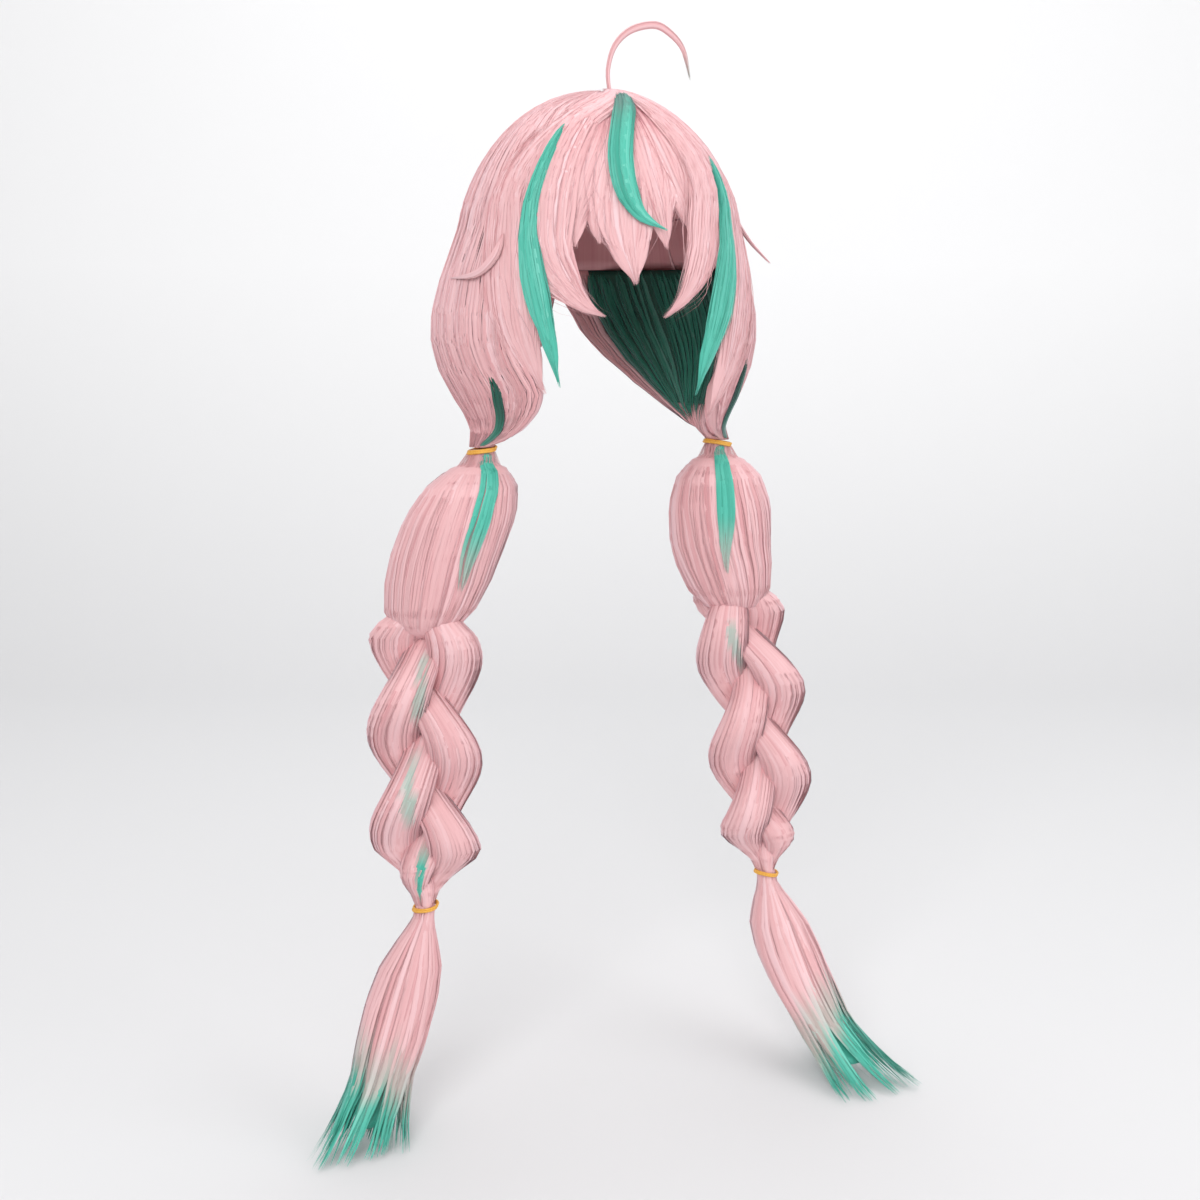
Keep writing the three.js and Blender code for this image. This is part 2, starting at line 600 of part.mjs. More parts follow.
// Under lock: a thin dark strand that lies on the front of the side hair and follows it to the tie.
function underLock({ side }, grow = 0) {
  const rings = [];
  const steps = 10;
  for (let k = 0; k <= steps; k++) {
    const t = k / steps;
    const [fall, share] = [along(UNDER_LOCK, "fall", t), along(UNDER_LOCK, "share", t)];
    const halfWide = (along(UNDER_LOCK, "wide", t) * UNDER_LOCK_WIDTH) / 2 + grow;
    const halfThick = (along(UNDER_LOCK, "thick", t) * UNDER_LOCK_THICKNESS) / 2 + grow;
    const step = 0.01;
    const at = (share) => sidePoint(side, fall, share, 0, false);
    const sharePerLength = (2 * step) / at(share + step).distanceTo(at(share - step));
    const ring = [];
    for (let i = 0; i < SECTION_SIDES; i++) {
      const turn = (i * 2 * Math.PI) / SECTION_SIDES;
      const lift = LOCK_SEAT + halfThick - grow + halfThick * Math.sin(turn);
      ring.push(sidePoint(side, fall, share + halfWide * Math.cos(turn) * sharePerLength, lift, false));
    }
    rings.push(ring);
  }
  return loft(rings);
}

// Lock that lies on the hair's outer surface, with a lens-shaped section across its path.
function surfaceLock(rows, width, steps = 12, grow = 0, thickness = LOCK_THICKNESS) {
  const rings = [];
  const round = (fall) => HEAD_LENGTH / 2 * Math.max(Math.sin(Math.min(fall, 1) * 90 * DEG), 0.2) * DEG;
  for (let k = 0; k <= steps; k++) {
    const t = k / steps;
    const around = along(rows, "around", t);
    const fall = along(rows, "fall", t);
    const step = 0.02;
    const run = (along(rows, "around", t + step) - along(rows, "around", t - step)) * round(fall);
    const drop =
      (along(rows, "fall", t + step) - along(rows, "fall", t - step)) * (TIE_DROP - HEAD_RISE);
    const length = Math.hypot(run, drop);
    const halfWide = (along(rows, "wide", t) * width) / 2 + grow;
    const halfThick = (along(rows, "thick", t) * thickness) / 2 + grow;
    const middle = LOCK_SEAT + along(rows, "lift", t) * thickness + halfThick - grow;
    const ring = [];
    for (let i = 0; i < SECTION_SIDES; i++) {
      const turn = (i * 2 * Math.PI) / SECTION_SIDES;
      const across = halfWide * Math.cos(turn);
      ring.push(
        hairPoint(
          around + ((drop / length) * across) / round(fall),
          fall - ((run / length) * across) / (TIE_DROP - HEAD_RISE),
          middle + halfThick * Math.sin(turn),
        ),
      );
    }
    rings.push(ring);
  }
  return loft(rings);
}

// Antenna lock: a flat curl that stands on top of the crown and arches to the wearer's left.
function antenna() {
  const foot = hairPoint(ANTENNA_TURN, ANTENNA_FALL, GAP);
  const centre = (t) =>
    new THREE.Vector3(
      foot.x + along(ANTENNA, "out", t) * ANTENNA_SPAN,
      foot.y,
      foot.z + along(ANTENNA, "up", t) * ANTENNA_HEIGHT,
    );
  const rings = [];
  const steps = 16;
  for (let k = 0; k <= steps; k++) {
    const t = k / steps;
    const ahead = centre(t + 0.02).sub(centre(t - 0.02)).normalize();
    const flat = k === 0 ? new THREE.Vector3(1, 0, 0) : new THREE.Vector3(ahead.z, 0, -ahead.x);
    const half = (along(ANTENNA, "wide", t) * ANTENNA_WIDTH) / 2;
    const ring = [];
    for (let i = 0; i < SECTION_SIDES; i++) {
      const turn = (i * 2 * Math.PI) / SECTION_SIDES;
      ring.push(
        centre(t)
          .addScaledVector(flat, half * Math.cos(turn))
          .add(new THREE.Vector3(0, (ANTENNA_THICKNESS / 2) * Math.sin(turn), 0)),
      );
    }
    rings.push(ring);
  }
  return loft(rings);
}

// Elastic ring round a bunch of hair.
function band(centre, radius, side) {
  const ring = new THREE.TorusGeometry(radius + GAP + BAND_WIRE / 2, BAND_WIRE / 2, BAND_SIDES, BAND_STEPS);
  ring.rotateY(side * BAND_SLANT);
  ring.translate(centre.x, centre.y, centre.z);
  return solid(ring);
}

// Middle of a pigtail at a height.
function pigtailMiddle({ side, axis, lowerTieDrop }, z) {
  const down = (-z - TIE_DROP) / (lowerTieDrop - TIE_DROP);
  const away = lookup(axis, "out", "down", Math.max(down, 0)) - axis[0].out;
  const back = smooth(Math.min(Math.max((-z - TIE_DROP) / BULGE_LENGTH, 0), 1));
  return new THREE.Vector3(
    side * (TIE_SPREAD + away * BRAID_SPREAD),
    lerp(-TIE_FORWARD, BRAID_BACK, back),
    z,
  );
}

const upperTie = (end) => pigtailMiddle(end, -TIE_DROP);
const lowerTie = (end) => pigtailMiddle(end, -end.lowerTieDrop);
const bulgeMiddle = (end, down) => pigtailMiddle(end, -TIE_DROP + GAP - down * BULGE_LENGTH);

// Oval section at a height.
function ovalRing(centre, halfWide, halfDeep, count) {
  const ring = [];
  for (let i = 0; i < count; i++) {
    const turn = (i * 2 * Math.PI) / count;
    ring.push(
      new THREE.Vector3(
        centre.x + halfWide * Math.cos(turn),
        centre.y + halfDeep * Math.sin(turn),
        centre.z,
      ),
    );
  }
  return ring;
}

function bulge(end, grow = 0) {
  return loft(
    BULGE.map(({ down, wide, deep, neck = 0 }, i) =>
      ovalRing(
        bulgeMiddle(end, down + (i === BULGE.length - 1 ? grow / BULGE_LENGTH : 0)),
        lerp((wide * BULGE_WIDTH) / 2, NECK_RADIUS, neck) + grow,
        lerp((deep * BULGE_DEPTH) / 2, NECK_RADIUS, neck) + grow,
        BULGE_SIDES,
      ),
    ),
  );
}

// Teal streak: a thin strip that follows the front of the bulge.
function streak(end) {
  const rings = [];
  const steps = 10;
  for (let k = 0; k <= steps; k++) {
    const t = k / steps;
    const down = along(STREAK, "down", t);
    const at = (key) => lookup(BULGE, key, "down", down);
    const middle = bulgeMiddle(end, down);
    const halfWide = (along(STREAK, "wide", t) * STREAK_WIDTH) / 2;
    const ring = [];
    for (let i = 0; i < SECTION_SIDES; i++) {
      const turn = (i * 2 * Math.PI) / SECTION_SIDES;
      const reachWide = (at("wide") * BULGE_WIDTH) / 2;
      const angle = along(STREAK, "turn", t) * DEG + (halfWide * Math.cos(turn)) / reachWide;
      const lift = STREAK_THICKNESS * (1 + 0.5 * Math.sin(turn));
      ring.push(
        new THREE.Vector3(
          middle.x + end.side * (reachWide + lift) * Math.sin(angle),
          middle.y - ((at("deep") * BULGE_DEPTH) / 2 + lift) * Math.cos(angle),
          middle.z,
        ),
      );
    }
    rings.push(ring);
  }
  return loft(rings);
}

// One of three braid strands: it swings from side to side and in front of and behind the others.
function strand(end, index, grow = 0) {
  const top = -TIE_DROP - BULGE_LENGTH * BRAID_TOP;
  const bottom = -end.lowerTieDrop + GAP / 2 + BAND_WIRE / 2;
  const rings = [];
  for (let k = 0; k <= STRAND_STEPS; k++) {
    const z = lerp(top, bottom, k / STRAND_STEPS);
    const turns = (z + TIE_DROP + end.lobeDrop) / BRAID_PERIOD + index / 3;
    const phase = 2 * Math.PI * turns;
    const close = smooth(Math.min(Math.max((z - bottom) / BRAID_CLOSE, 0), 1));
    const begin = smooth(Math.min(lerp(BRAID_BEGIN, 1, (top - z) / BRAID_OPEN), 1));
    const open = close * begin;
    const lobe = lerp(STRAND_CROSSING, 1, Math.abs(Math.cos(phase)) ** 1.5);
    const bunchTurn = (index * 2 * Math.PI) / 3 + BUNCH_TURN;
    const bunch = LOWER_NECK_RADIUS / 2;
    const centre = pigtailMiddle(end, z);
    centre.x += end.side * lerp(bunch * Math.cos(bunchTurn), BRAID_SWAY * Math.cos(phase), open);
    centre.y += lerp(bunch * Math.sin(bunchTurn), -BRAID_WEAVE * Math.sin(2 * phase), open);
    const halfWide = lerp(bunch, (STRAND_WIDTH / 2) * lobe, open) + grow;
    const halfDeep = lerp(bunch, (STRAND_DEPTH / 2) * lobe, open) + grow;
    rings.push(ovalRing(centre, halfWide, halfDeep, STRAND_SIDES));
  }
  return loft(rings);
}

// Loose tail: locks fused to a core, drawn together at the lower tie and spread at the tips.
function tail(end) {
  const tie = lowerTie(end);
  const middle = (down) => {
    const lean = lookup(TAIL, "lean", "down", down);
    return new THREE.Vector3(
      tie.x + end.side * end.tailOut * lean,
      tie.y - end.tailForward * lean * lean,
      lerp(tie.z + BAND_WIRE / 2 - GAP / 2, -FLOOR_DROP, down),
    );
  };
  const half = (down) => {
    const at = (key) => lookup(TAIL, key, "down", down);
    return [
      lerp((at("wide") * TAIL_WIDTH) / 2, LOWER_NECK_RADIUS, at("neck")),
      lerp((at("deep") * TAIL_DEPTH) / 2, LOWER_NECK_RADIUS, at("neck")),
    ];
  };
  const rows = TAIL.filter(({ core }) => core);
  let made = loft(
    rows.map(({ down, core }) => {
      const [wide, deep] = half(down);
      return ovalRing(middle(down), wide * core, deep * core, CORE_SIDES);
    }),
  );
  for (let n = 0; n < TAIL_LOCKS; n++) {
    const turn = (n * 2 * Math.PI) / TAIL_LOCKS + 0.3;
    const reach = 0.9 + 0.1 * Math.cos(n * 2.4);
    const steps = 4;
    const rings = [];
    for (let k = 0; k <= steps; k++) {
      const down = lerp(0.1, reach, k / steps);
      const [wide, deep] = half(down);
      const spread = 0.62 + 0.12 * Math.cos(n * 1.7 + down * 3);
      const centre = middle(down);
      centre.x += wide * spread * Math.cos(turn);
      centre.y += deep * spread * Math.sin(turn);
      const narrow = k === steps ? 0.06 : Math.min(1, 1.25 * (1 - down) + 0.35);
      rings.push(ovalRing(centre, wide * 0.42 * narrow, deep * 0.46 * narrow, 6));
    }
    made = made.add(loft(rings));
  }
  return largest(made);
}

// Head and face
const rightFace = (grow) => surfaceLock(RIGHT_FACE_LOCK, FACE_LOCK_WIDTH, 10, grow);
const leftFace = (grow) => surfaceLock(LEFT_FACE_LOCK, FACE_LOCK_WIDTH, 10, grow);
const rightTeal = (grow) => surfaceLock(RIGHT_TEAL_LOCK, TEAL_LOCK_WIDTH, 10, grow);
const leftTeal = (grow) => surfaceLock(LEFT_TEAL_LOCK, TEAL_LOCK_WIDTH, 10, grow);
const forelock = (grow) => surfaceLock(FORELOCK, FORELOCK_WIDTH, 10, grow);

add("crown_hair", crown(), "pink");
add("antenna_lock", antenna(), "pink");
add("teal_forelock", forelock(0), "teal");
add("right_teal_lock", rightTeal(0), "teal");
add("left_teal_lock", leftTeal(0), "teal");
add("right_face_lock", cut(rightFace(0), rightTeal(GAP), forelock(GAP)), "pink");
add("left_face_lock", cut(leftFace(0), leftTeal(GAP), forelock(GAP)), "pink");

const above = [rightFace(GAP), leftFace(GAP), rightTeal(GAP), leftTeal(GAP), forelock(GAP)];
FRINGE.forEach((rows, i) => {
  add(`fringe_lock_${i + 1}`, cut(surfaceLock(rows, FRINGE_WIDTH, 8), ...above), "pink");
  above.push(surfaceLock(rows, FRINGE_WIDTH, 8, GAP));
});

const rightCheek = (grow) => surfaceLock(RIGHT_CHEEK_LOCK, CHEEK_LOCK_WIDTH, 9, grow);
const leftCheek = (grow) => surfaceLock(LEFT_CHEEK_LOCK, CHEEK_LOCK_WIDTH, 9, grow);
add("right_cheek_lock", cut(rightCheek(0), rightFace(GAP), rightTeal(GAP)), "pink");
add("left_cheek_lock", cut(leftCheek(0), leftFace(GAP), leftTeal(GAP)), "pink");
add("right_flick", cut(surfaceLock(RIGHT_FLICK, FLICK_WIDTH, 7), rightCheek(GAP)), "pink");
add("left_flick", cut(surfaceLock(LEFT_FLICK, FLICK_WIDTH, 7), leftCheek(GAP)), "pink");

// Pigtails
for (const [name, end] of Object.entries(SIDES)) {
  const cheek = end.side < 0 ? rightCheek : leftCheek;
  add(`${name}_side_hair`, sideHair(end), "pink");
  add(`${name}_nape_hair`, napeHair(end), "deepTeal");
  add(`${name}_under_lock`, cut(underLock(end), cheek(GAP)), "deepTeal");
  add(`${name}_upper_band`, band(upperTie(end), NECK_RADIUS, end.side), "elastic");
  const bulgeGrown = bulge(end, GAP);
  add(`${name}_bulge`, bulge(end), "pink");
  add(`${name}_bulge_streak`, cut(streak(end), bulgeGrown), "teal");
  const strands = [0, 1, 2].map((i) => strand(end, i));
  const grown = [0, 1, 2].map((i) => strand(end, i, GAP));
  strands.forEach((made, i) => {
    add(`${name}_braid_strand_${i + 1}`, cut(made, grown[(i + 1) % 3], bulgeGrown), "pink");
  });
  add(`${name}_lower_band`, band(lowerTie(end), LOWER_NECK_RADIUS, end.side), "elastic");
  add(`${name}_tail`, tail(end), "pink");
}

export default wig;
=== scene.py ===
"""Braided wig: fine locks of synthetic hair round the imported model's forms.

Metres, +Z up. The wig faces -Y and the wearer's left is +X. Every piece of hair is a closed core
with many thin wisps and single hairs laid over it, all worked out as whole arrays.
"""

import bpy
import numpy as np
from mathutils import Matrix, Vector


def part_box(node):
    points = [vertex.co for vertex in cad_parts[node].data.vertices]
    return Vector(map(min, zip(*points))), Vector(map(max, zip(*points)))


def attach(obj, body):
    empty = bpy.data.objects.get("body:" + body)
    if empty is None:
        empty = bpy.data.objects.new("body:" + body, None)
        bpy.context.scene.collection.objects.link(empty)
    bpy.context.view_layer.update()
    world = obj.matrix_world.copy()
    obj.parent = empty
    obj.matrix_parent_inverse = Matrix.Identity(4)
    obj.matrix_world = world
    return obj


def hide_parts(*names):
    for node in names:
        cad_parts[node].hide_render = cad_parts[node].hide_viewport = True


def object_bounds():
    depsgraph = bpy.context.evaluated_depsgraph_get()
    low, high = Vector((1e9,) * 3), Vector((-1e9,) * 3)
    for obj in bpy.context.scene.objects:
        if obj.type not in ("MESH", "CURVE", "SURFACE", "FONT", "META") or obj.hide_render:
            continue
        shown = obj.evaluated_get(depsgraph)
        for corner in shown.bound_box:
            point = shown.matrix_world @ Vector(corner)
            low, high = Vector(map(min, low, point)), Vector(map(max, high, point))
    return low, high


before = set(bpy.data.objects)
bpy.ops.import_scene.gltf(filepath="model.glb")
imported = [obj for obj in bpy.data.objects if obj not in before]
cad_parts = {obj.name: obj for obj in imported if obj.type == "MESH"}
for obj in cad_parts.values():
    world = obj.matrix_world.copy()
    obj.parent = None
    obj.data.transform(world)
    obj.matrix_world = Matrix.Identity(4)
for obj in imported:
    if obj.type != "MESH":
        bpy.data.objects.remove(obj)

CAD_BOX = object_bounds()
MM = 0.001

# A wisp has five sides and is flat, and a single hair has three and is nearly round: thickness as a
# share of the width
FLAT = 0.13
ROUND = 0.9
THICKNESS = {5: FLAT, 3: ROUND}
NO_TAPER = 0.0001  # share of the length over which an end that stays wide narrows
SILK = 0.3  # how much of a wisp's own roundness shows in its shading
TONE_SPREAD = 0.075  # how much one wisp's shade differs from the next


def middle(node):
    """Middle of a node's box."""
    low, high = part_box(node)
    return np.array([(low[i] + high[i]) / 2 for i in range(3)])


# Forms of the head and the hair
HEAD_WIDTH = 152 * MM
HEAD_LENGTH = 188 * MM
HEAD_RISE = 96 * MM
HEAD_BACK_SHIFT = 5 * MM
CROWN_TOP = 20 * MM
CROWN_SIDE = 41 * MM
CROWN_FRONT = 12 * MM
CROWN_BACK = 25 * MM
WALL = 26 * MM
FLARE = 8
SHOULDER_FILL = 3.5 * MM
HAIR_WIDTH = 308 * MM
HAIR_FRONT = 110 * MM
HAIR_BACK = 127 * MM
NECK_RADIUS = 11 * MM
LOWER_NECK_RADIUS = 10 * MM
TIES = {-1: middle("right_upper_band"), 1: middle("left_upper_band")}
LOWER_TIES = {-1: middle("right_lower_band"), 1: middle("left_lower_band")}
TIE_DROP = -TIES[1][2]
TIE_SPREAD = TIES[1][0]
TIE_FORWARD = -TIES[1][1]
FLOOR = CAD_BOX[0][2]
LOCK_SEAT = 0.8 * MM
LOCK_THICKNESS = 6 * MM

# Pigtails
BULGE_LENGTH = 178 * MM
BULGE_WIDTH = 106 * MM
BULGE_DEPTH = 74 * MM
BRAID_SPREAD = 174 * MM
BRAID_BACK = 13 * MM
BRAID_PERIOD = 294 * MM
BRAID_SWAY = 28 * MM
BRAID_WEAVE = 15 * MM
STRAND_WIDTH = 54 * MM
STRAND_DEPTH = 32 * MM
STRAND_CROSSING = 0.72
BRAID_TOP = 0.84
BRAID_OPEN = 30 * MM
BRAID_BEGIN = 0.55
BRAID_CLOSE = 62 * MM
BUNCH_TURN = 0.5
BRAID_START = {-1: 163 * MM, 1: 173 * MM}
# Streaks on the braids' strands: top and bottom height, angle on the strand at each, strength
BRAID_STREAKS = {
    (-1, 1): (-0.490, -0.566, 0.0, -0.85, 0.5), (-1, 2): (-0.588, -0.662, 0.7, -0.3, 0.55),
    (-1, 0): (-0.684, -0.748, 0.2, -0.3, 1.0), (1, 2): (-0.478, -0.545, -0.25, 0.95, 0.5),
}
TAIL_WIDTH = 80 * MM
TAIL_DEPTH = 44 * MM
TAIL_LOCKS = 8
TAIL_OUT = {-1: 84 * MM, 1: 66 * MM}
TAIL_FORWARD = {-1: 66 * MM, 1: 130 * MM}
ANTENNA_TURN = 10
ANTENNA_FALL = 0.12
ANTENNA_HEIGHT = 60 * MM
ANTENNA_SPAN = 80 * MM
ANTENNA_WIDTH = 7 * MM
ANTENNA_THICKNESS = 3 * MM


def table(columns, *rows):
    """Rows of numbers as one array for each named column."""
    return dict(zip(columns.split(), np.array(rows, float).T))


# fall is 1 at the head's widest line and 2 at the upper tie; the rest are shares of the sizes above
FALL = table(
    "fall side front back",
    (1.0, 0.81, 1.0, 0.99), (1.12, 0.88, 1.02, 1.0), (1.25, 0.94, 1.02, 0.98),
    (1.4, 0.99, 1.01, 0.93), (1.52, 1.0, 0.99, 0.86), (1.65, 0.97, 0.96, 0.79),
    (1.78, 0.9, 0.93, 0.72), (1.92, 0.78, 0.9, 0.66), (2.15, 0.68, 0.86, 0.63),
)
SIDE_HAIR = table(
    "fall from to gather",
    (1.2, 46, 178, 0), (1.35, 44, 176, 0), (1.5, 43, 172, 0.03), (1.62, 43, 166, 0.1),
    (1.73, 44, 160, 0.24), (1.82, 46, 154, 0.42), (1.9, 48, 148, 0.66), (1.96, 50, 144, 0.9),
    (1.985, 50, 144, 1),
)
AXIS = {
    -1: table("down out", (0, 0.684), (0.015, 0.684), (0.1, 0.76), (0.22, 0.87), (0.36, 0.97),
              (0.5, 1.0), (0.8, 1.0), (1, 1.02)),
    1: table("down out", (0, 0.684), (0.015, 0.684), (0.1, 0.71), (0.22, 0.75), (0.35, 0.85),
             (0.55, 1.0), (0.77, 1.06), (1, 1.11)),
}
BULGE = table(
    "down wide deep neck",
    (0, 0, 0, 1), (0.025, 0, 0, 1), (0.09, 0.5, 0.55, 0), (0.19, 0.82, 0.86, 0),
    (0.34, 0.99, 1.0, 0), (0.52, 1.0, 1.0, 0), (0.7, 0.95, 0.92, 0), (0.85, 0.82, 0.78, 0),
    (0.95, 0.55, 0.5, 0), (1.0, 0.16, 0.16, 0),
)
STREAK = table("down turn wide", (0.05, -8, 0.35), (0.14, -11, 0.8), (0.3, -10, 1.0),
               (0.5, -11, 0.9), (0.72, -16, 0.2))
STREAK_WIDTH = 17 * MM
STREAK_THICKNESS = 3 * MM
TAIL = table(
    "down wide deep lean neck",
    (0, 0.3, 0.4, 0, 1), (0.03, 0.3, 0.4, 0, 1), (0.14, 0.5, 0.62, 0.09, 0),
    (0.28, 0.88, 0.92, 0.2, 0), (0.42, 1.0, 1.0, 0.32, 0), (0.58, 0.98, 0.95, 0.47, 0),
    (0.74, 0.9, 0.85, 0.64, 0), (0.88, 1.1, 0.95, 0.83, 0), (1.0, 1.4, 1.2, 1, 0),
)
ANTENNA = table("out up wide", (0, 0, 0.45), (-0.02, 0.31, 0.55), (0.06, 0.66, 0.75),
                (0.25, 0.9, 0.95), (0.53, 1.0, 1.0), (0.72, 0.91, 0.9), (0.9, 0.665, 0.65),
                (0.995, 0.21, 0.2))

UNDER_LOCK = table("fall share wide thick", (1.6, 0.1, 0.4, 0.5), (1.7, 0.09, 0.9, 1.0),
                   (1.8, 0.09, 1.0, 1.0), (1.88, 0.1, 0.9, 1.0), (1.94, 0.12, 0.6, 0.8),
                   (1.975, 0.14, 0.35, 0.6))
UNDER_LOCK_WIDTH = 9 * MM
UNDER_LOCK_THICKNESS = 4 * MM
FRONT_SAG = 2.2
FRONT_HANG = 0.07

# Locks on the head: around is the angle from the face's middle, positive to the wearer's left
LOCK = "around fall wide thick lift"
LOCKS = {
    "fringe_lock_1": (34, table(LOCK, (-15, 0.36, 0.35, 0.5, 0), (-19.3, 0.587, 0.85, 0.9, 0),
                      (-25.5, 0.8, 1.0, 1.0, 0), (-28, 0.98, 0.8, 0.9, 0), (-25.1, 1.14, 0.14, 0.3, 0))),
    "fringe_lock_2": (34, table(LOCK, (-9, 0.38, 0.3, 0.5, 0), (-12.1, 0.586, 0.62, 0.9, 0),
                      (-14.8, 0.8, 0.75, 1.0, 0), (-16.8, 1.0, 0.55, 0.8, 0), (-16.1, 1.12, 0.12, 0.3, 0))),
    "fringe_lock_3": (34, table(LOCK, (-4, 0.42, 0.3, 0.5, 0), (-5.5, 0.6, 0.6, 0.8, 0),
                      (-6.5, 0.8, 0.85, 1.0, 0), (-7, 0.96, 1.0, 1.0, 0), (-5.4, 1.13, 0.8, 0.9, 0),
                      (-2.4, 1.285, 0.12, 0.3, 0))),
    "fringe_lock_4": (34, table(LOCK, (4, 0.4, 0.3, 0.5, 0), (4, 0.65, 0.7, 0.9, 0),
                      (6.5, 0.9, 0.8, 1.0, 0), (9.5, 1.14, 0.12, 0.3, 0))),
    "fringe_lock_5": (34, table(LOCK, (10, 0.38, 0.35, 0.5, 0), (12.5, 0.6, 0.8, 0.9, 0),
                      (17.5, 0.84, 0.85, 1.0, 0), (20.9, 1.06, 0.14, 0.3, 0))),
    "teal_forelock": (13, table(LOCK, (5, 0.27, 0.9, 0.6, 0.3), (-1.5, 0.45, 1.0, 0.9, 0.8),
                      (-6, 0.58, 1.0, 1.0, 1.0), (-8.8, 0.74, 1.05, 1.0, 1.0), (-7.4, 0.89, 1.0, 1.0, 1.0),
                      (-1.8, 1.0, 0.8, 0.8, 1.0), (9, 1.06, 0.15, 0.3, 1.0))),
    "right_face_lock": (36, table(LOCK, (-14, 0.24, 0.25, 0.4, 0.2), (-26, 0.47, 0.7, 0.9, 0.3),
                        (-34.5, 0.7, 0.95, 1.0, 0.5), (-37.5, 0.94, 1.0, 1.0, 0.5),
                        (-35.2, 1.123, 0.8, 1.0, 0.5), (-28, 1.264, 0.58, 0.9, 0.5),
                        (-19.6, 1.37, 0.3, 0.7, 0.5), (-12.4, 1.415, 0.08, 0.3, 0.5))),
    "left_face_lock": (36, table(LOCK, (13, 0.24, 0.25, 0.4, 0.2), (21, 0.47, 0.6, 0.9, 0.3),
                       (28, 0.69, 0.75, 1.0, 0.5), (29.5, 0.88, 0.72, 1.0, 0.5),
                       (25.5, 1.074, 0.6, 1.0, 0.5), (20, 1.24, 0.42, 0.9, 0.5),
                       (14.2, 1.345, 0.25, 0.7, 0.5), (7.1, 1.42, 0.08, 0.3, 0.5))),
    "right_teal_lock": (15, table(LOCK, (-35, 0.55, 0.2, 0.4, 0.8), (-38, 0.658, 0.35, 0.7, 1.0),
                        (-42, 0.85, 0.5, 0.8, 1.1), (-43.6, 1.021, 0.6, 0.8, 1.1),
                        (-39.5, 1.183, 0.75, 0.9, 1.1), (-34.5, 1.346, 0.75, 0.9, 1.1),
                        (-30, 1.53, 0.6, 0.8, 1.1), (-28, 1.711, 0.1, 0.3, 0.9))),
    "left_teal_lock": (15, table(LOCK, (42, 0.6, 0.3, 0.4, 0.4), (43.5, 0.728, 0.55, 0.7, 0.5),
                       (43.3, 0.917, 0.85, 0.8, 0.6), (41, 1.069, 1.05, 0.8, 0.6),
                       (35, 1.239, 1.25, 0.9, 0.6), (29.5, 1.408, 1.15, 0.9, 0.6),
                       (25, 1.578, 0.85, 0.8, 0.6), (23.3, 1.755, 0.12, 0.3, 0.5))),
    "right_cheek_lock": (34, table(LOCK, (-50, 0.55, 0.3, 0.5, 0), (-54, 0.75, 0.7, 0.8, 0),
                         (-54.5, 0.95, 1.0, 1.0, 0.2), (-50.5, 1.17, 1.0, 1.0, 0.2),
                         (-45, 1.386, 0.9, 1.0, 0), (-40, 1.572, 0.7, 0.8, 0),
                         (-34.3, 1.74, 0.12, 0.3, 0))),
    "left_cheek_lock": (34, table(LOCK, (50, 0.55, 0.3, 0.5, 0), (53, 0.75, 0.7, 0.8, 0),
                        (52.5, 0.95, 1.0, 1.0, 0.2), (47.5, 1.19, 1.0, 1.0, 0.2),
                        (42.3, 1.43, 0.9, 1.0, 0), (38, 1.668, 0.7, 0.8, 0), (36.2, 1.87, 0.12, 0.3, 0))),
    "right_flick": (3.5, table(LOCK, (-53, 1.07, 0.4, 0.4, 1.25), (-54.5, 1.17, 1.0, 0.7, 1.3),
                    (-63, 1.24, 0.8, 0.6, 0.9), (-84, 1.252, 0.2, 0.3, 0.1))),
    "left_flick": (4, table(LOCK, (64, 0.88, 0.4, 0.4, 0), (66, 1.0, 1.0, 0.7, 0.2),
                   (69, 1.1, 0.7, 0.5, 1.8), (75, 1.18, 0.2, 0.3, 4.2))),
}

# Top layer that parts over the fringe, in the crown's own piece
CURTAINS = {
    -1: (30, table(LOCK, (12, 0.1, 0.3, 0.2, 0), (1, 0.25, 0.5, 0.5, 0.2), (-11, 0.38, 0.7, 0.7, 0.4),
                   (-29, 0.53, 0.9, 0.8, 0.5), (-45, 0.74, 1.0, 0.8, 0.4), (-52, 0.98, 0.7, 0.6, 0.3),
                   (-51, 1.2, 0.2, 0.3, 0.4))),
    1: (28, table(LOCK, (-2, 0.1, 0.3, 0.2, 0), (12, 0.24, 0.5, 0.5, 0.2), (20, 0.37, 0.7, 0.7, 0.4),
                  (31, 0.53, 0.9, 0.8, 0.5), (44, 0.73, 1.0, 0.8, 0.35), (52, 0.96, 0.7, 0.6, 0.25),
                  (53, 1.2, 0.2, 0.3, 0.4))),
}


# Sums on arrays
def smooth(t):
    t = np.clip(t, 0, 1)
    return t * t * (3 - 2 * t)


def mix(a, b, t):
    return a + (b - a) * t


def unit(v):
    return v / np.maximum(np.linalg.norm(v, axis=-1, keepdims=True), 1e-9)


def stack(x, y, z):
    """Points from three arrays of coordinates."""
    return np.stack(np.broadcast_arrays(x, y, z), -1)


def along(column, t):
    """Smooth curve through one column of a table, at places t from 0 to 1."""
    last = len(column) - 1
    x = np.clip(t, 0, 1) * last
    i = np.minimum(x.astype(int), last - 1)
    a, b, c, d = (column[np.clip(i + k, 0, last)] for k in (-1, 0, 1, 2))
    u = x - i
    bend, ahead = (c - a) / 2, (d - b) / 2
    return b + u * (bend + u * (3 * (c - b) - 2 * bend - ahead + u * (bend + ahead - 2 * (c - b))))


def waver(rng, shape, t, size, waves=2):
    """Slow random wander along each hair: a few sine waves of random phase, growing from its root."""
    out = np.zeros(shape)
    for k in range(1, waves + 1):
        phase = rng.uniform(0, 2 * np.pi, shape[:-1] + (1,))
        out = out + np.sin(2 * np.pi * k * 0.7 * t + phase) * rng.normal(0, 1 / k, shape[:-1] + (1,))
    return out * size


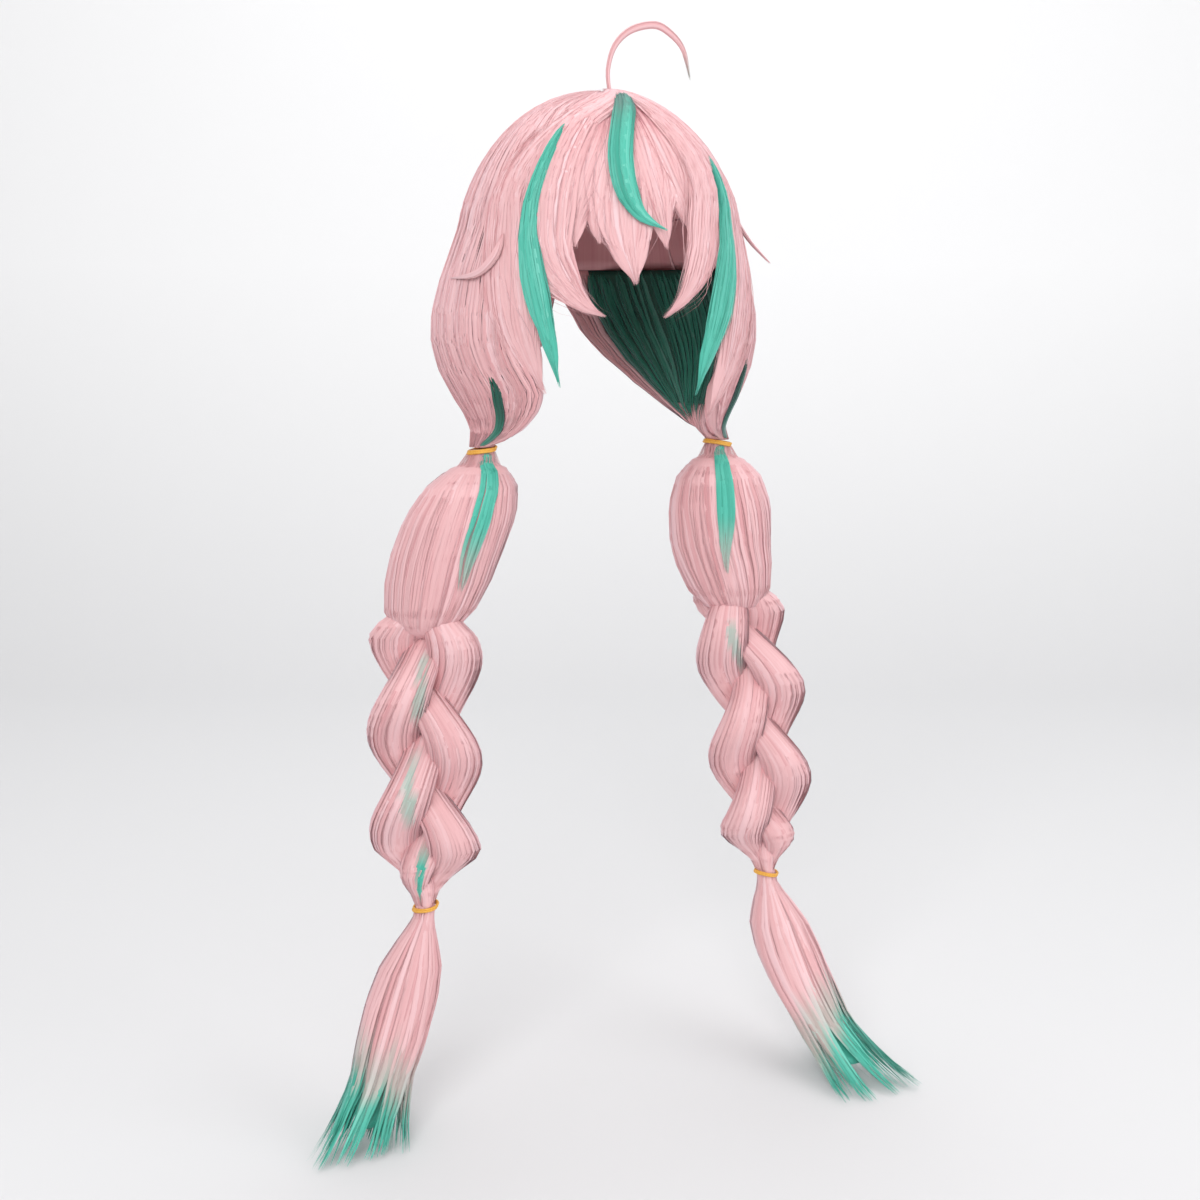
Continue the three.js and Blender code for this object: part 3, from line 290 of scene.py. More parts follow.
def taper(t, root, tip, least=0.06):
    """Width of a wisp along its length: it grows over its root and narrows over its tip."""
    swell = np.clip(t / max(root, 1e-6), 0, 1) ** 0.6
    close = np.clip((1 - t) / max(tip, 1e-6), 0, 1) ** 0.75
    return np.maximum(swell * close, least)


def places(sides, wisp_steps, hair_steps):
    """Shares from root to tip: a wisp has more steps than a single hair, which has three sides."""
    return np.linspace(0, 1, hair_steps if sides == 3 else wisp_steps)[None]


# Meshes
def tubes(rings, tone, dye, offset=0.0, normal=None):
    """Closed tubes from rings of points, as tube, step, side, coordinate.

    Quads join each ring to the next and a cap closes each end. A tube whose volume comes out
    negative is turned round, so that every face points outwards. The map's first coordinate is the
    way round in metres and its second the way along."""
    n, m, k, _ = rings.shape
    index = np.arange(n * m * k).reshape(n, m, k)
    a, d = index[:, :-1], index[:, 1:]
    quads = np.stack([a, np.roll(a, -1, 2), np.roll(d, -1, 2), d], -1)
    caps = np.stack([index[:, 0, ::-1], index[:, -1]], 1)
    centre = rings.mean((1, 2), keepdims=True)
    corner = (rings - centre).reshape(-1, 3)[quads]
    fan = np.cross(corner[..., 1, :], corner[..., 2, :]) + np.cross(corner[..., 2, :], corner[..., 3, :])
    inward = (corner[..., 0, :] * fan).sum((1, 2, 3)) < 0
    step = np.linalg.norm(np.diff(rings.mean(2), axis=1), axis=-1)
    run = np.concatenate([np.zeros((n, 1)), np.cumsum(step, 1)], 1)
    side = np.linalg.norm(rings - np.roll(rings, -1, 2), axis=-1).max(1).sum(1)
    turn = np.linspace(0, 1, k + 1)[None] * side[:, None] + np.broadcast_to(offset, (n,))[:, None]
    u = np.broadcast_to(turn[:, None], (n, m - 1, k + 1))
    low = np.broadcast_to(run[:, :-1, None], (n, m - 1, k))
    high = np.broadcast_to(run[:, 1:, None], (n, m - 1, k))
    quad_uv = np.stack([
        np.stack([u[..., :-1], low], -1), np.stack([u[..., 1:], low], -1),
        np.stack([u[..., 1:], high], -1), np.stack([u[..., :-1], high], -1)], -2)
    cap_uv = np.stack([
        np.stack(np.broadcast_arrays(turn[:, :-1], run[:, :1]), -1),
        np.stack(np.broadcast_arrays(turn[:, :-1], run[:, -1:]), -1)], 1)
    quads[inward] = quads[inward][..., ::-1]
    quad_uv[inward] = quad_uv[inward][..., ::-1, :]
    caps[inward] = caps[inward][..., ::-1]
    spread = lambda value: np.broadcast_to(
        np.reshape(value, np.shape(value) + (1,) * (3 - np.ndim(value))), (n, m, k)).ravel()
    return {
        "co": rings.reshape(-1, 3),
        "loops": np.concatenate([quads.ravel(), caps.ravel()]),
        "totals": np.concatenate([np.full(quads.size // 4, 4), np.full(2 * n, k)]),
        "uv": np.concatenate([quad_uv.reshape(-1, 2), cap_uv.reshape(-1, 2)]),
        "tone": spread(tone),
        "dye": spread(dye),
        "normal": np.zeros((n * m * k, 3)) if normal is None else normal.reshape(-1, 3),
    }


def wisps(centre, outward, half_wide, half_thick, sides, rng, dye=0.0, tone=None):
    """Thin oval tubes along centre lines: the wide way lies across the line and square to outward.

    A wisp's normals point outward on its outer half and inward on its inner half, with only a part
    of its own roundness, so that wisps side by side shade as one silky surface."""
    ahead = unit(np.gradient(centre, axis=1))
    across = unit(np.cross(ahead, outward))
    out = np.cross(across, ahead)
    turn = np.pi / 2 + np.arange(sides) * 2 * np.pi / sides
    rings = (
        centre[:, :, None]
        + across[:, :, None] * (half_wide[:, :, None] * np.cos(turn))[..., None]
        + out[:, :, None] * (half_thick[:, :, None] * np.sin(turn))[..., None]
    )
    count = len(centre)
    if tone is None:
        tone = rng.normal(0.5, TONE_SPREAD, count)
    facing = np.where(np.sin(turn) > 0, 1.0, -1.0)
    normal = across[:, :, None] * (SILK * np.cos(turn))[:, None] + out[:, :, None] * facing[:, None]
    return tubes(rings, tone, dye, rng.uniform(0, 3, count), unit(normal) if sides == 5 else None)


def piece(name, parts, material, nodes):
    """One mesh from all parts, which stands for the nodes and takes the slot's finish."""
    starts = np.cumsum([0] + [len(p["co"]) for p in parts])
    join = lambda key: np.concatenate([p[key] for p in parts])
    loops = np.concatenate([p["loops"] + s for p, s in zip(parts, starts)]).astype(np.int32)
    totals = join("totals").astype(np.int32)
    mesh = bpy.data.meshes.new(name)
    mesh.vertices.add(starts[-1])
    mesh.vertices.foreach_set("co", join("co").astype(np.float32).ravel())
    mesh.loops.add(len(loops))
    mesh.loops.foreach_set("vertex_index", loops)
    mesh.polygons.add(len(totals))
    mesh.polygons.foreach_set("loop_start", np.concatenate([[0], np.cumsum(totals)[:-1]]).astype(np.int32))
    mesh.polygons.foreach_set("use_smooth", np.ones(len(totals), bool))
    mesh.uv_layers.new(name="fibre").data.foreach_set("uv", join("uv").astype(np.float32).ravel())
    for key in ("tone", "dye"):
        values = join(key).astype(np.float32)
        mesh.attributes.new(key, "FLOAT", "POINT").data.foreach_set("value", values)
    mesh.update(calc_edges=True)
    mesh.validate()
    # A vertex whose normal is nought keeps its own
    mesh.normals_split_custom_set_from_vertices(join("normal").tolist())
    made = bpy.data.objects.new(name, mesh)
    bpy.context.scene.collection.objects.link(made)
    mesh.materials.append(material)
    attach(made, "root")
    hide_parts(*nodes)
    return made


# Forms
def hair_form(around, fall, lift):
    """Outer form of the hair: an oval dome to fall 1, then an oval wall down to the tie.

    The reach to the side, front and back blends from the crown's to the table's with the sine of
    the tilt to a high power, lift is added all round, and a little more fills the hollow at fall 1."""
    turn = np.radians(around)
    tilt = np.radians(90 * np.minimum(fall, 1))
    flare = np.sin(tilt) ** FLARE
    low = np.maximum(fall, 1)
    row = lambda key: np.interp(low, FALL["fall"], FALL[key])
    side = mix(HEAD_WIDTH / 2 + CROWN_SIDE, row("side") * HAIR_WIDTH / 2, flare)
    side = side + SHOULDER_FILL * np.exp(-((fall - 1) / 0.1) ** 2) * np.sin(turn) ** 2
    front = mix(HEAD_LENGTH / 2 + CROWN_FRONT, row("front") * HAIR_FRONT, flare)
    back = mix(HEAD_LENGTH / 2 + CROWN_BACK, row("back") * HAIR_BACK, flare)
    reach = np.where(np.cos(turn) > 0, front, back) + lift
    top = HEAD_RISE + CROWN_TOP + lift
    return stack(
        (side + lift) * np.sin(tilt) * np.sin(turn),
        HEAD_BACK_SHIFT - reach * np.sin(tilt) * np.cos(turn),
        np.where(fall <= 1, top * np.cos(tilt) - HEAD_RISE, -HEAD_RISE - (fall - 1) * (TIE_DROP - HEAD_RISE)),
    )


def form_out(around, fall):
    """Outward direction of the hair's form."""
    return unit(hair_form(around, fall, 5 * MM) - hair_form(around, fall, 0.0))


def lock_point(rows, width, t, across, height):
    """Point of a lock at a share t along it: across its path in metres, height over its seat.

    The path's run and drop on the form turn the across step into an angle and a fall."""
    scale = lambda fall: HEAD_LENGTH / 2 * np.maximum(np.sin(np.radians(90 * np.minimum(fall, 1))), 0.2)
    at = lambda key, s: along(rows[key], s)
    around, fall = at("around", t), at("fall", t)
    turn = np.radians(1) * scale(fall)
    run = (at("around", t + 0.02) - at("around", t - 0.02)) * turn
    drop = (at("fall", t + 0.02) - at("fall", t - 0.02)) * (TIE_DROP - HEAD_RISE)
    length = np.hypot(run, drop)
    a = around + drop / length * across / turn
    f = fall - run / length * across / (TIE_DROP - HEAD_RISE)
    return hair_form(a, f, height), form_out(a, f)


def pigtail_middle(side, z):
    """Middle of a pigtail at a height: the axis table outwards, a smooth step backwards."""
    down = (-z - TIE_DROP) / (-LOWER_TIES[side][2] - TIE_DROP)
    away = np.interp(np.maximum(down, 0), AXIS[side]["down"], AXIS[side]["out"]) - AXIS[side]["out"][0]
    back = smooth((-z - TIE_DROP) / BULGE_LENGTH)
    return stack(side * (TIE_SPREAD + away * BRAID_SPREAD), mix(-TIE_FORWARD, BRAID_BACK, back), z)


# Materials
def socket(node, name):
    return next(s for s in node.inputs if s.name == name and s.enabled)


def hair_material(name, pink, dyed, streak_depth=0.42):
    """Synthetic hair: tone and dye attributes pick the colour, and noise stretched along the fibre
    map gives the single hairs their colour and bump."""
    # The tone attribute holds each wisp's random lightness and also painted shade, such as at the fringe's
    # roots and low on the side hair
    material = bpy.data.materials.new(name)
    material.use_nodes = True
    tree = material.node_tree
    nodes, links = tree.nodes, tree.links
    shader = nodes["Principled BSDF"]

    def attribute(key):
        node = nodes.new("ShaderNodeAttribute")
        node.attribute_name = key
        return node.outputs["Fac"]

    def ramp(value, colours):
        node = nodes.new("ShaderNodeValToRGB")
        stops = node.color_ramp.elements
        for i, (place, colour) in enumerate(colours):
            stop = stops[i] if i < 2 else stops.new(place)
            stop.position = place
            stop.color = (*colour, 1)
        links.new(value, node.inputs["Fac"])
        return node.outputs["Color"]

    def noise(scale, detail):
        move = nodes.new("ShaderNodeMapping")
        move.inputs["Scale"].default_value = scale
        links.new(map_node.outputs["UV"], move.inputs["Vector"])
        node = nodes.new("ShaderNodeTexNoise")
        node.inputs["Scale"].default_value = 1
        node.inputs["Detail"].default_value = detail
        links.new(move.outputs["Vector"], node.inputs["Vector"])
        return node.outputs["Fac"]

    def maths(kind, a, b):
        node = nodes.new("ShaderNodeMath")
        node.operation = kind
        node.use_clamp = True
        for i, value in enumerate((a, b)):
            if isinstance(value, (int, float)):
                node.inputs[i].default_value = value
            else:
                links.new(value, node.inputs[i])
        return node.outputs[0]

    map_node = nodes.new("ShaderNodeUVMap")
    map_node.uv_map = "fibre"
    fine = noise((1600, 8, 1), 2)
    broad = noise((380, 4, 1), 1)
    streaks = maths("ADD", maths("MULTIPLY", fine, 0.55), maths("MULTIPLY", broad, 0.45))
    # The streaks swing the tone both ways about the value that the wisp has by itself
    lighter = maths("ADD", attribute("tone"), maths("MULTIPLY", streaks, streak_depth))
    tone = maths("SUBTRACT", lighter, streak_depth / 2)
    mixer = nodes.new("ShaderNodeMix")
    mixer.data_type = "RGBA"
    links.new(attribute("dye"), socket(mixer, "Factor"))
    links.new(ramp(tone, pink), socket(mixer, "A"))
    links.new(ramp(tone, dyed), socket(mixer, "B"))
    links.new(next(s for s in mixer.outputs if s.enabled), shader.inputs["Base Color"])
    bump = nodes.new("ShaderNodeBump")
    bump.inputs["Strength"].default_value = 0.14
    bump.inputs["Distance"].default_value = 0.3 * MM
    links.new(fine, bump.inputs["Height"])
    links.new(bump.outputs["Normal"], shader.inputs["Normal"])
    shader.inputs["Roughness"].default_value = 0.46
    shader.inputs["Specular IOR Level"].default_value = 0.4
    shader.inputs["Sheen Weight"].default_value = 0.22
    shader.inputs["Sheen Roughness"].default_value = 0.45
    shader.inputs["Sheen Tint"].default_value = (0.86, 0.8, 1.0, 1)
    return material


def srgb(red, green, blue):
    """Linear colour of an 8-bit one."""
    return tuple(((c / 255 + 0.055) / 1.055) ** 2.4 for c in (red, green, blue))


PINK = [(0.0, srgb(174, 104, 112)), (0.25, srgb(211, 149, 153)), (0.5, srgb(229, 180, 182)),
        (0.75, srgb(237, 200, 204)), (1.0, srgb(244, 218, 224))]
TEAL = [(0.0, srgb(22, 104, 88)), (0.3, srgb(50, 152, 132)), (0.55, srgb(82, 188, 167)),
        (0.8, srgb(128, 210, 193)), (1.0, srgb(172, 228, 216))]
# Teal in shade: its dark end is painted shade behind the neck and on the under lock, and its light end greys
# towards pink where pink hairs mix in
SHADED_TEAL = [(0.0, srgb(8, 54, 44)), (0.3, srgb(18, 84, 68)), (0.55, srgb(34, 116, 96)),
        (0.8, srgb(110, 140, 134)), (1.0, srgb(170, 160, 162))]
hair_pink = hair_material("hair_pink", PINK, TEAL)
hair_teal = hair_material("hair_teal", TEAL, TEAL)
hair_deep_teal = hair_material("hair_deep_teal", SHADED_TEAL, SHADED_TEAL)


def elastic_material():
    """Thin spun elastic: orange to yellow, with fine noise in its colour and bump."""
    material = bpy.data.materials.new("elastic")
    material.use_nodes = True
    nodes, links = material.node_tree.nodes, material.node_tree.links
    shader = nodes["Principled BSDF"]
    place = nodes.new("ShaderNodeTexCoord")
    spots = nodes.new("ShaderNodeTexNoise")
    spots.inputs["Scale"].default_value = 900
    links.new(place.outputs["Object"], spots.inputs["Vector"])
    shade = nodes.new("ShaderNodeValToRGB")
    shade.color_ramp.elements[0].color = (*srgb(205, 132, 35), 1)
    shade.color_ramp.elements[1].color = (*srgb(250, 200, 90), 1)
    links.new(spots.outputs["Fac"], shade.inputs["Fac"])
    links.new(shade.outputs["Color"], shader.inputs["Base Color"])
    bump = nodes.new("ShaderNodeBump")
    bump.inputs["Strength"].default_value = 0.3
    bump.inputs["Distance"].default_value = 0.2 * MM
    links.new(spots.outputs["Fac"], bump.inputs["Height"])
    links.new(bump.outputs["Normal"], shader.inputs["Normal"])
    shader.inputs["Roughness"].default_value = 0.5
    return material


elastic = elastic_material()


# Head
def lock_parts(rows, width, seed, count, hairs, shadow=0.0):
    """A lock: a lens-shaped core, wisps round its section that close to the tip, and loose hairs.

    shadow is how much its root is darker than its length."""
    rng = np.random.default_rng(seed)
    seat = lambda t: (LOCK_SEAT + along(rows["lift"], t) * LOCK_THICKNESS
                      + along(rows["thick"], t) * LOCK_THICKNESS / 2)
    half_w = lambda t: along(rows["wide"], t) * width / 2
    half_t = lambda t: along(rows["thick"], t) * LOCK_THICKNESS / 2
    parts = []
    t = np.linspace(0.02, 0.97, 26)[:, None]
    turn = np.linspace(0, 2 * np.pi, 15)[:-1][None]
    slim = 0.92 * taper(t, 0.1, 0.12)
    ring, _ = lock_point(rows, width, t + 0 * turn, half_w(t) * slim * np.cos(turn),
                         seat(t) + half_t(t) * slim * np.sin(turn))
    parts.append(tubes(ring[None], (0.5 - shadow * (1 - smooth(t / 0.45))).T, 0.0, 0.0))
    for number, sides, size, loose in ((count, 5, 1.0, 0.05), (hairs, 3, 0.2, 0.14)):
        s = places(sides, 14, 14)
        first = rng.uniform(0, 0.12, (number, 1))
        last = 1 - 0.2 * rng.uniform(0, 1, (number, 1)) ** 1.5
        t = first + (last - first) * s
        # Two thirds of the wisps lie on the outer face
        place = np.where(rng.uniform(0, 1, (number, 1)) < 0.7, rng.uniform(0, np.pi, (number, 1)),
                         rng.uniform(np.pi, 2 * np.pi, (number, 1)))
        out = rng.uniform(0.8, 1.0, (number, 1)) + (0.08 if sides == 3 else 0)
        wide = out * np.cos(place) * half_w(t) + waver(rng, (number, 1), s, loose * width) * smooth(s)
        high = out * np.sin(place) * half_t(t)
        high = high + waver(rng, (number, 1), s, 0.03 * LOCK_THICKNESS) * smooth(s)
        close = 1 - 0.65 * smooth((t - 0.68) / 0.3)
        centre, outward = lock_point(rows, width, t, wide * close, seat(t) + high)
        body = np.sqrt(np.maximum(half_w(t) / (width / 2), 0.05))
        half = size * (2.1 * MM) * body * taper(s, 0.15, 0.35) * rng.uniform(0.7, 1.2, (number, 1))
        tone = rng.normal(0.52, TONE_SPREAD, (number, 1)) - shadow * (1 - smooth(t / 0.45))
        parts.append(wisps(centre, outward, half, half * THICKNESS[sides], sides, rng, 0.0, tone))
    return parts


def cap_rows():
    """Sewn rows inside the crown: rings round the hollow, open where the rim leaves the face free."""
    fall = np.linspace(0.2, 0.98, 12)[:, None]
    rise = np.linspace(0, 1, 50)
    gap = 34 * np.interp(fall, 0.6 + 0.598 * smooth(rise), rise) + np.where(fall > 0.57, 32, 0)
    turn = np.radians(mix(gap, 360 - gap, np.linspace(0, 1, 45)[None]))
    tilt = np.radians(90 * fall)
    inset = 1 - 0.6 * MM / (HEAD_WIDTH / 2)
    ring = stack(HEAD_WIDTH / 2 * inset * np.sin(tilt) * np.sin(turn),
                 HEAD_BACK_SHIFT - HEAD_LENGTH / 2 * inset * np.sin(tilt) * np.cos(turn),
                 HEAD_RISE * inset * np.cos(tilt) - HEAD_RISE)
    half = np.full((12, 45), 1.3 * MM)
    rng = np.random.default_rng(13)
    # The rows take a very dark tone: painted shade inside the hollow
    return [wisps(ring, unit(ring), half, half * 0.5, 6, rng, 0.0, np.full(12, 0.1))]


def crown():
    """Dome: a hollow wall, with wisps and hairs that fan out from the parting and hang past its rim."""
    rng = np.random.default_rng(11)
    around = np.linspace(-180, 180, 73)[:-1][None]
    past = smooth((np.abs(around) - 30) / 34)
    rim = mix(0.6, 1.198, past)
    k = np.linspace(0.01, 1, 26)[:, None]
    outer = hair_form(around + 0 * k, rim * k, -0.4 * MM)
    inner_form = hair_form(around + 0 * k, rim * k, -WALL)
    tilt = np.radians(90 * np.minimum(rim * k, 1))
    turn = np.radians(around)
    head = stack(HEAD_WIDTH / 2 * np.sin(tilt) * np.sin(turn),
                 HEAD_BACK_SHIFT - HEAD_LENGTH / 2 * np.sin(tilt) * np.cos(turn),
                 np.where(rim * k <= 1, HEAD_RISE * np.cos(tilt) - HEAD_RISE,
                          -HEAD_RISE - (rim * k - 1) * (TIE_DROP - HEAD_RISE)))
    reach = lambda p: np.hypot(p[..., 0], p[..., 1] - HEAD_BACK_SHIFT)
    blend = smooth((rim * k - 0.5) / 0.5)
    share = np.maximum(1, mix(1, reach(inner_form) / np.maximum(reach(head), 1e-6), blend))
    inner = stack(head[..., 0] * share,
                  HEAD_BACK_SHIFT + (head[..., 1] - HEAD_BACK_SHIFT) * share, head[..., 2])
    wall = np.concatenate([outer, inner[::-1]])
    # The shade of the parting lies over the fringe's roots
    shade = 0.52 - 0.38 * (1 - smooth((np.abs(around) - 24) / 14)) + 0 * k
    # The inner wall is darker than the outer: painted shade inside the hollow
    parts = [tubes(wall[None], np.concatenate([shade, 0 * k + 0.3 + 0 * around])[None], 0.0)]
    for number, sides, half_size in ((540, 5, 3.2 * MM), (480, 3, 0.34 * MM)):
        s = places(sides, 16, 14)
        angle = rng.uniform(-180, 180, (number, 1))
        fringe = 1 - smooth((np.abs(angle) - 24) / 14)
        edge = mix(0.63, 1.3, smooth((np.abs(angle) - 30) / 34))
        first = mix(rng.uniform(0.015, 0.3, (number, 1)) * rng.uniform(0.1, 1, (number, 1)), 0.2, fringe)
        last = edge * rng.uniform(0.88, 1.0, (number, 1))
        fall = first + (last - first) * s
        # Beside the fringe the hair leaves the parting forwards and sweeps round to its own place
        sweep = smooth((fall + 0.08) / 0.5)
        forward = smooth((100 - np.abs(angle)) / 50)
        place = mix(angle, angle * sweep, forward) + waver(rng, (number, 1), s, 1.0)
        high = rng.uniform(-0.3, 0.3, (number, 1)) * MM + waver(rng, (number, 1), s, 0.2 * MM)
        high = high - 1.5 * MM * smooth((s - 0.75) / 0.25) + (0.5 * MM if sides == 3 else 0)
        width = half_size * np.clip(np.sin(np.radians(90 * np.minimum(fall, 1))), 0.25, 1)
        half = width * taper(s, 0.1, 0.3) * rng.uniform(0.7, 1.2, (number, 1))
        # Wisps that lie over the fringe's roots are darker: painted shade of the parting
        tone = rng.normal(0.55, TONE_SPREAD, (number, 1)) - 0.42 * fringe + 0 * s
        parts.append(wisps(hair_form(place, fall, high), form_out(place, fall), half,
                           half * THICKNESS[sides], sides, rng, 0.0, tone))
    for side, (width, rows) in CURTAINS.items():
        parts += lock_parts(rows, width * MM, 12 + side, 60, 40)
    parts += cap_rows()
    piece("crown_hair_visual", parts, hair_pink, ["crown_hair"])


def wall_depth(share):
    """Thickness of the side hair's wall: it thins towards its edges."""
    return mix(WALL / 3, WALL, np.sin(np.pi * np.clip(share, 0.001, 0.999)) ** 0.4)


def side_point(side, share, fall, lift, inner):
    """Point of the side hair: the form between two angles, drawn in to the round bunch at the tie."""
    row = lambda key: np.interp(fall, SIDE_HAIR["fall"], SIDE_HAIR[key])
    wall = hair_form(side * mix(row("from"), row("to"), share), fall, lift)
    turn = np.radians(-90 + 180 * share)
    radius = NECK_RADIUS + (0.0 if inner else lift)
    bunch = stack(side * (TIE_SPREAD + np.cos(turn) * radius * (-1 if inner else 1)),
                  -TIE_FORWARD + np.sin(turn) * NECK_RADIUS, wall[..., 2])
    drawn = row("gather") ** (1 + FRONT_SAG * (1 - share) ** 2)
    return wall + (bunch - wall) * drawn[..., None]


def side_out(side, share, fall, inner):
    """Outward direction of the side hair's wall, from its own slopes."""
    step = 0.01
    at = lambda share, fall: side_point(side, share, fall, 0.0, inner)
    across = at(share + step, fall) - at(share - step, fall)
    down = at(share, fall + step) - at(share, fall - step)
    normal = unit(np.cross(across, down)) * side
    return -normal if inner else normal


def sagged(share, fall):
    """The side hair's front edge hangs a little further forwards between the cheek and the tie."""
    return share - FRONT_HANG * np.exp(-((fall - 1.76) / 0.13) ** 2) * np.clip(1 - share, 0, 1) ** 4


def side_hair(side, name):
    """Wall of hair from the crown to the upper tie: a closed core, wisps on both faces, loose hairs."""
    rng = np.random.default_rng(21 + side)
    fall = np.linspace(1.2, 1.985, 30)[:, None]
    share = np.linspace(0, 1, 29)[None]
    puff = (5 if side < 0 else 1.5) * MM * np.sin(np.pi * np.clip((fall - 1.05) / 0.85, 0, 1))
    front, back = sagged(share, fall), share[:, ::-1]
    outer = side_point(side, front, fall + 0 * share, puff - 0.3 * MM, False)
    inner = side_point(side, sagged(back, fall), fall + 0 * back, -wall_depth(back) + 1.0 * MM, True)
    # The core is a little darker than the wisps: painted shade in the gaps between them
    parts = [tubes(np.concatenate([outer, inner], 1)[None], np.array([0.45]), 0.0)]
    sets = ((240, 5, 2.9 * MM, False, 0.85), (60, 5, 3.2 * MM, True, 1.1), (230, 3, 0.32 * MM, False, 0.85))
    for number, sides, half_size, inside, begin in sets:
        s = places(sides, 18, 16)
        lie = rng.uniform(0.0, 1.0, (number, 1))
        first = begin + rng.uniform(0, 0.3, (number, 1))
        last = 1.985 - 0.002 * rng.uniform(0, 1, (number, 1))
        fall = first + (last - first) * s
        lie = sagged(np.clip(lie + waver(rng, (number, 1), s, 0.006), -0.02, 1.02), fall)
        # Hair puffs out most between the cheek and the tie, and more on the wearer's right
        puff = (5 if side < 0 else 1.5) * MM * np.sin(np.pi * np.clip((fall - 1.05) / 0.85, 0, 1))
        lift = rng.uniform(-0.25, 0.3, (number, 1)) * MM + (0.5 * MM if sides == 3 else 0)
        lift = lift - wall_depth(lie) if inside else lift + puff
        gather = np.interp(fall, SIDE_HAIR["fall"], SIDE_HAIR["gather"])
        centre = side_point(side, lie, fall, lift, inside)
        width = half_size * mix(1.0, 0.4, gather)
        half = width * taper(s, 0.18, NO_TAPER, 0.3) * rng.uniform(0.7, 1.2, (number, 1))
        # Shade gathers low down, where the hair folds in to the tie
        tone = rng.normal(0.55, TONE_SPREAD, (number, 1)) - 0.16 * smooth((fall - 1.35) / 0.5)
        parts.append(wisps(centre, side_out(side, lie, fall, inside), half,
                           half * THICKNESS[sides], sides, rng, 0.0, tone))
    piece(name + "_side_hair_visual", parts, hair_pink, [name + "_side_hair"])


def nape_hair(side, name):
    """Teal layer that lines the side hair behind the neck, as a thin sheet of wisps; its darkness is painted
    shade.
    """
    rng = np.random.default_rng(31 + side)
    parts = []
    fall = np.linspace(1.2, 1.82, 22)[:, None]
    share = np.linspace(0.3, 0.92, 21)[None]
    near = side_point(side, share, fall + 0 * share, -wall_depth(share) - 1.0 * MM, True)
    far = side_point(side, share[:, ::-1], fall + 0 * share, -wall_depth(share[:, ::-1]) - 4.4 * MM, True)
    # The core is darker still: painted shade under the wisps
    parts.append(tubes(np.concatenate([near, far], 1)[None], np.array([0.2]), 0.0))
    for number, sides, half_size in ((60, 5, 2.4 * MM), (30, 3, 0.4 * MM)):
        s = places(sides, 14, 12)
        lie = rng.uniform(0.29, 0.93, (number, 1)) + waver(rng, (number, 1), s, 0.006)
        first = 1.2 + 0.03 * rng.uniform(0, 1, (number, 1))
        fall = first + (0.62 + 0.06 * rng.uniform(-1, 1, (number, 1))) * s
        lift = -wall_depth(lie) - (4.6 + rng.uniform(-0.6, 0.9, (number, 1))) * MM
        half = half_size * taper(s, 0.05, 0.3) * rng.uniform(0.7, 1.2, (number, 1))
        parts.append(wisps(side_point(side, lie, fall, lift, True), side_out(side, lie, fall, True), half,
                           half * THICKNESS[sides], sides, rng))
    piece(name + "_nape_hair_visual", parts, hair_deep_teal, [name + "_nape_hair"])


def under_lock(side, name):
    """Teal strand that lies on the front of the side hair and follows it into the tie, darkened as painted
    shade.
    """
    rng = np.random.default_rng(37 + side)
    parts = []
    for number, sides, size in ((20, 5, 1.2 * MM), (16, 3, 0.25 * MM)):
        s = places(sides, 18, 14)
        t = rng.uniform(0, 0.15, (number, 1)) * (1 - s) + s
        fall, share = along(UNDER_LOCK["fall"], t), along(UNDER_LOCK["share"], t)
        step = 0.01
        slope = (side_point(side, share + step, fall, 0.0, False)
                 - side_point(side, share - step, fall, 0.0, False))
        place = rng.uniform(0, 2 * np.pi, (number, 1))
        wide = along(UNDER_LOCK["wide"], t) * UNDER_LOCK_WIDTH / 2 * 0.85 * np.cos(place)
        wide = wide + waver(rng, (number, 1), s, 0.4 * MM)
        thick = along(UNDER_LOCK["thick"], t) * UNDER_LOCK_THICKNESS / 2
        lift = LOCK_SEAT + thick * (1 + 0.85 * np.sin(place))
        centre = side_point(side, share + wide * 2 * step / np.linalg.norm(slope, axis=-1), fall, lift, False)
        half = size * taper(s, 0.2, 0.1, 0.3) * rng.uniform(0.7, 1.2, (number, 1))
        # The strand greys where pink hairs mix in near the tie
        tone = rng.normal(0.28, TONE_SPREAD, (number, 1)) + 0.4 * smooth((s - 0.3) / 0.5)
        parts.append(wisps(centre, side_out(side, share, fall, False), half,
                           half * (0.5 if sides == 5 else ROUND), sides, rng, 0.0, tone))
    piece(name + "_under_lock_visual", parts, hair_deep_teal, [name + "_under_lock"])


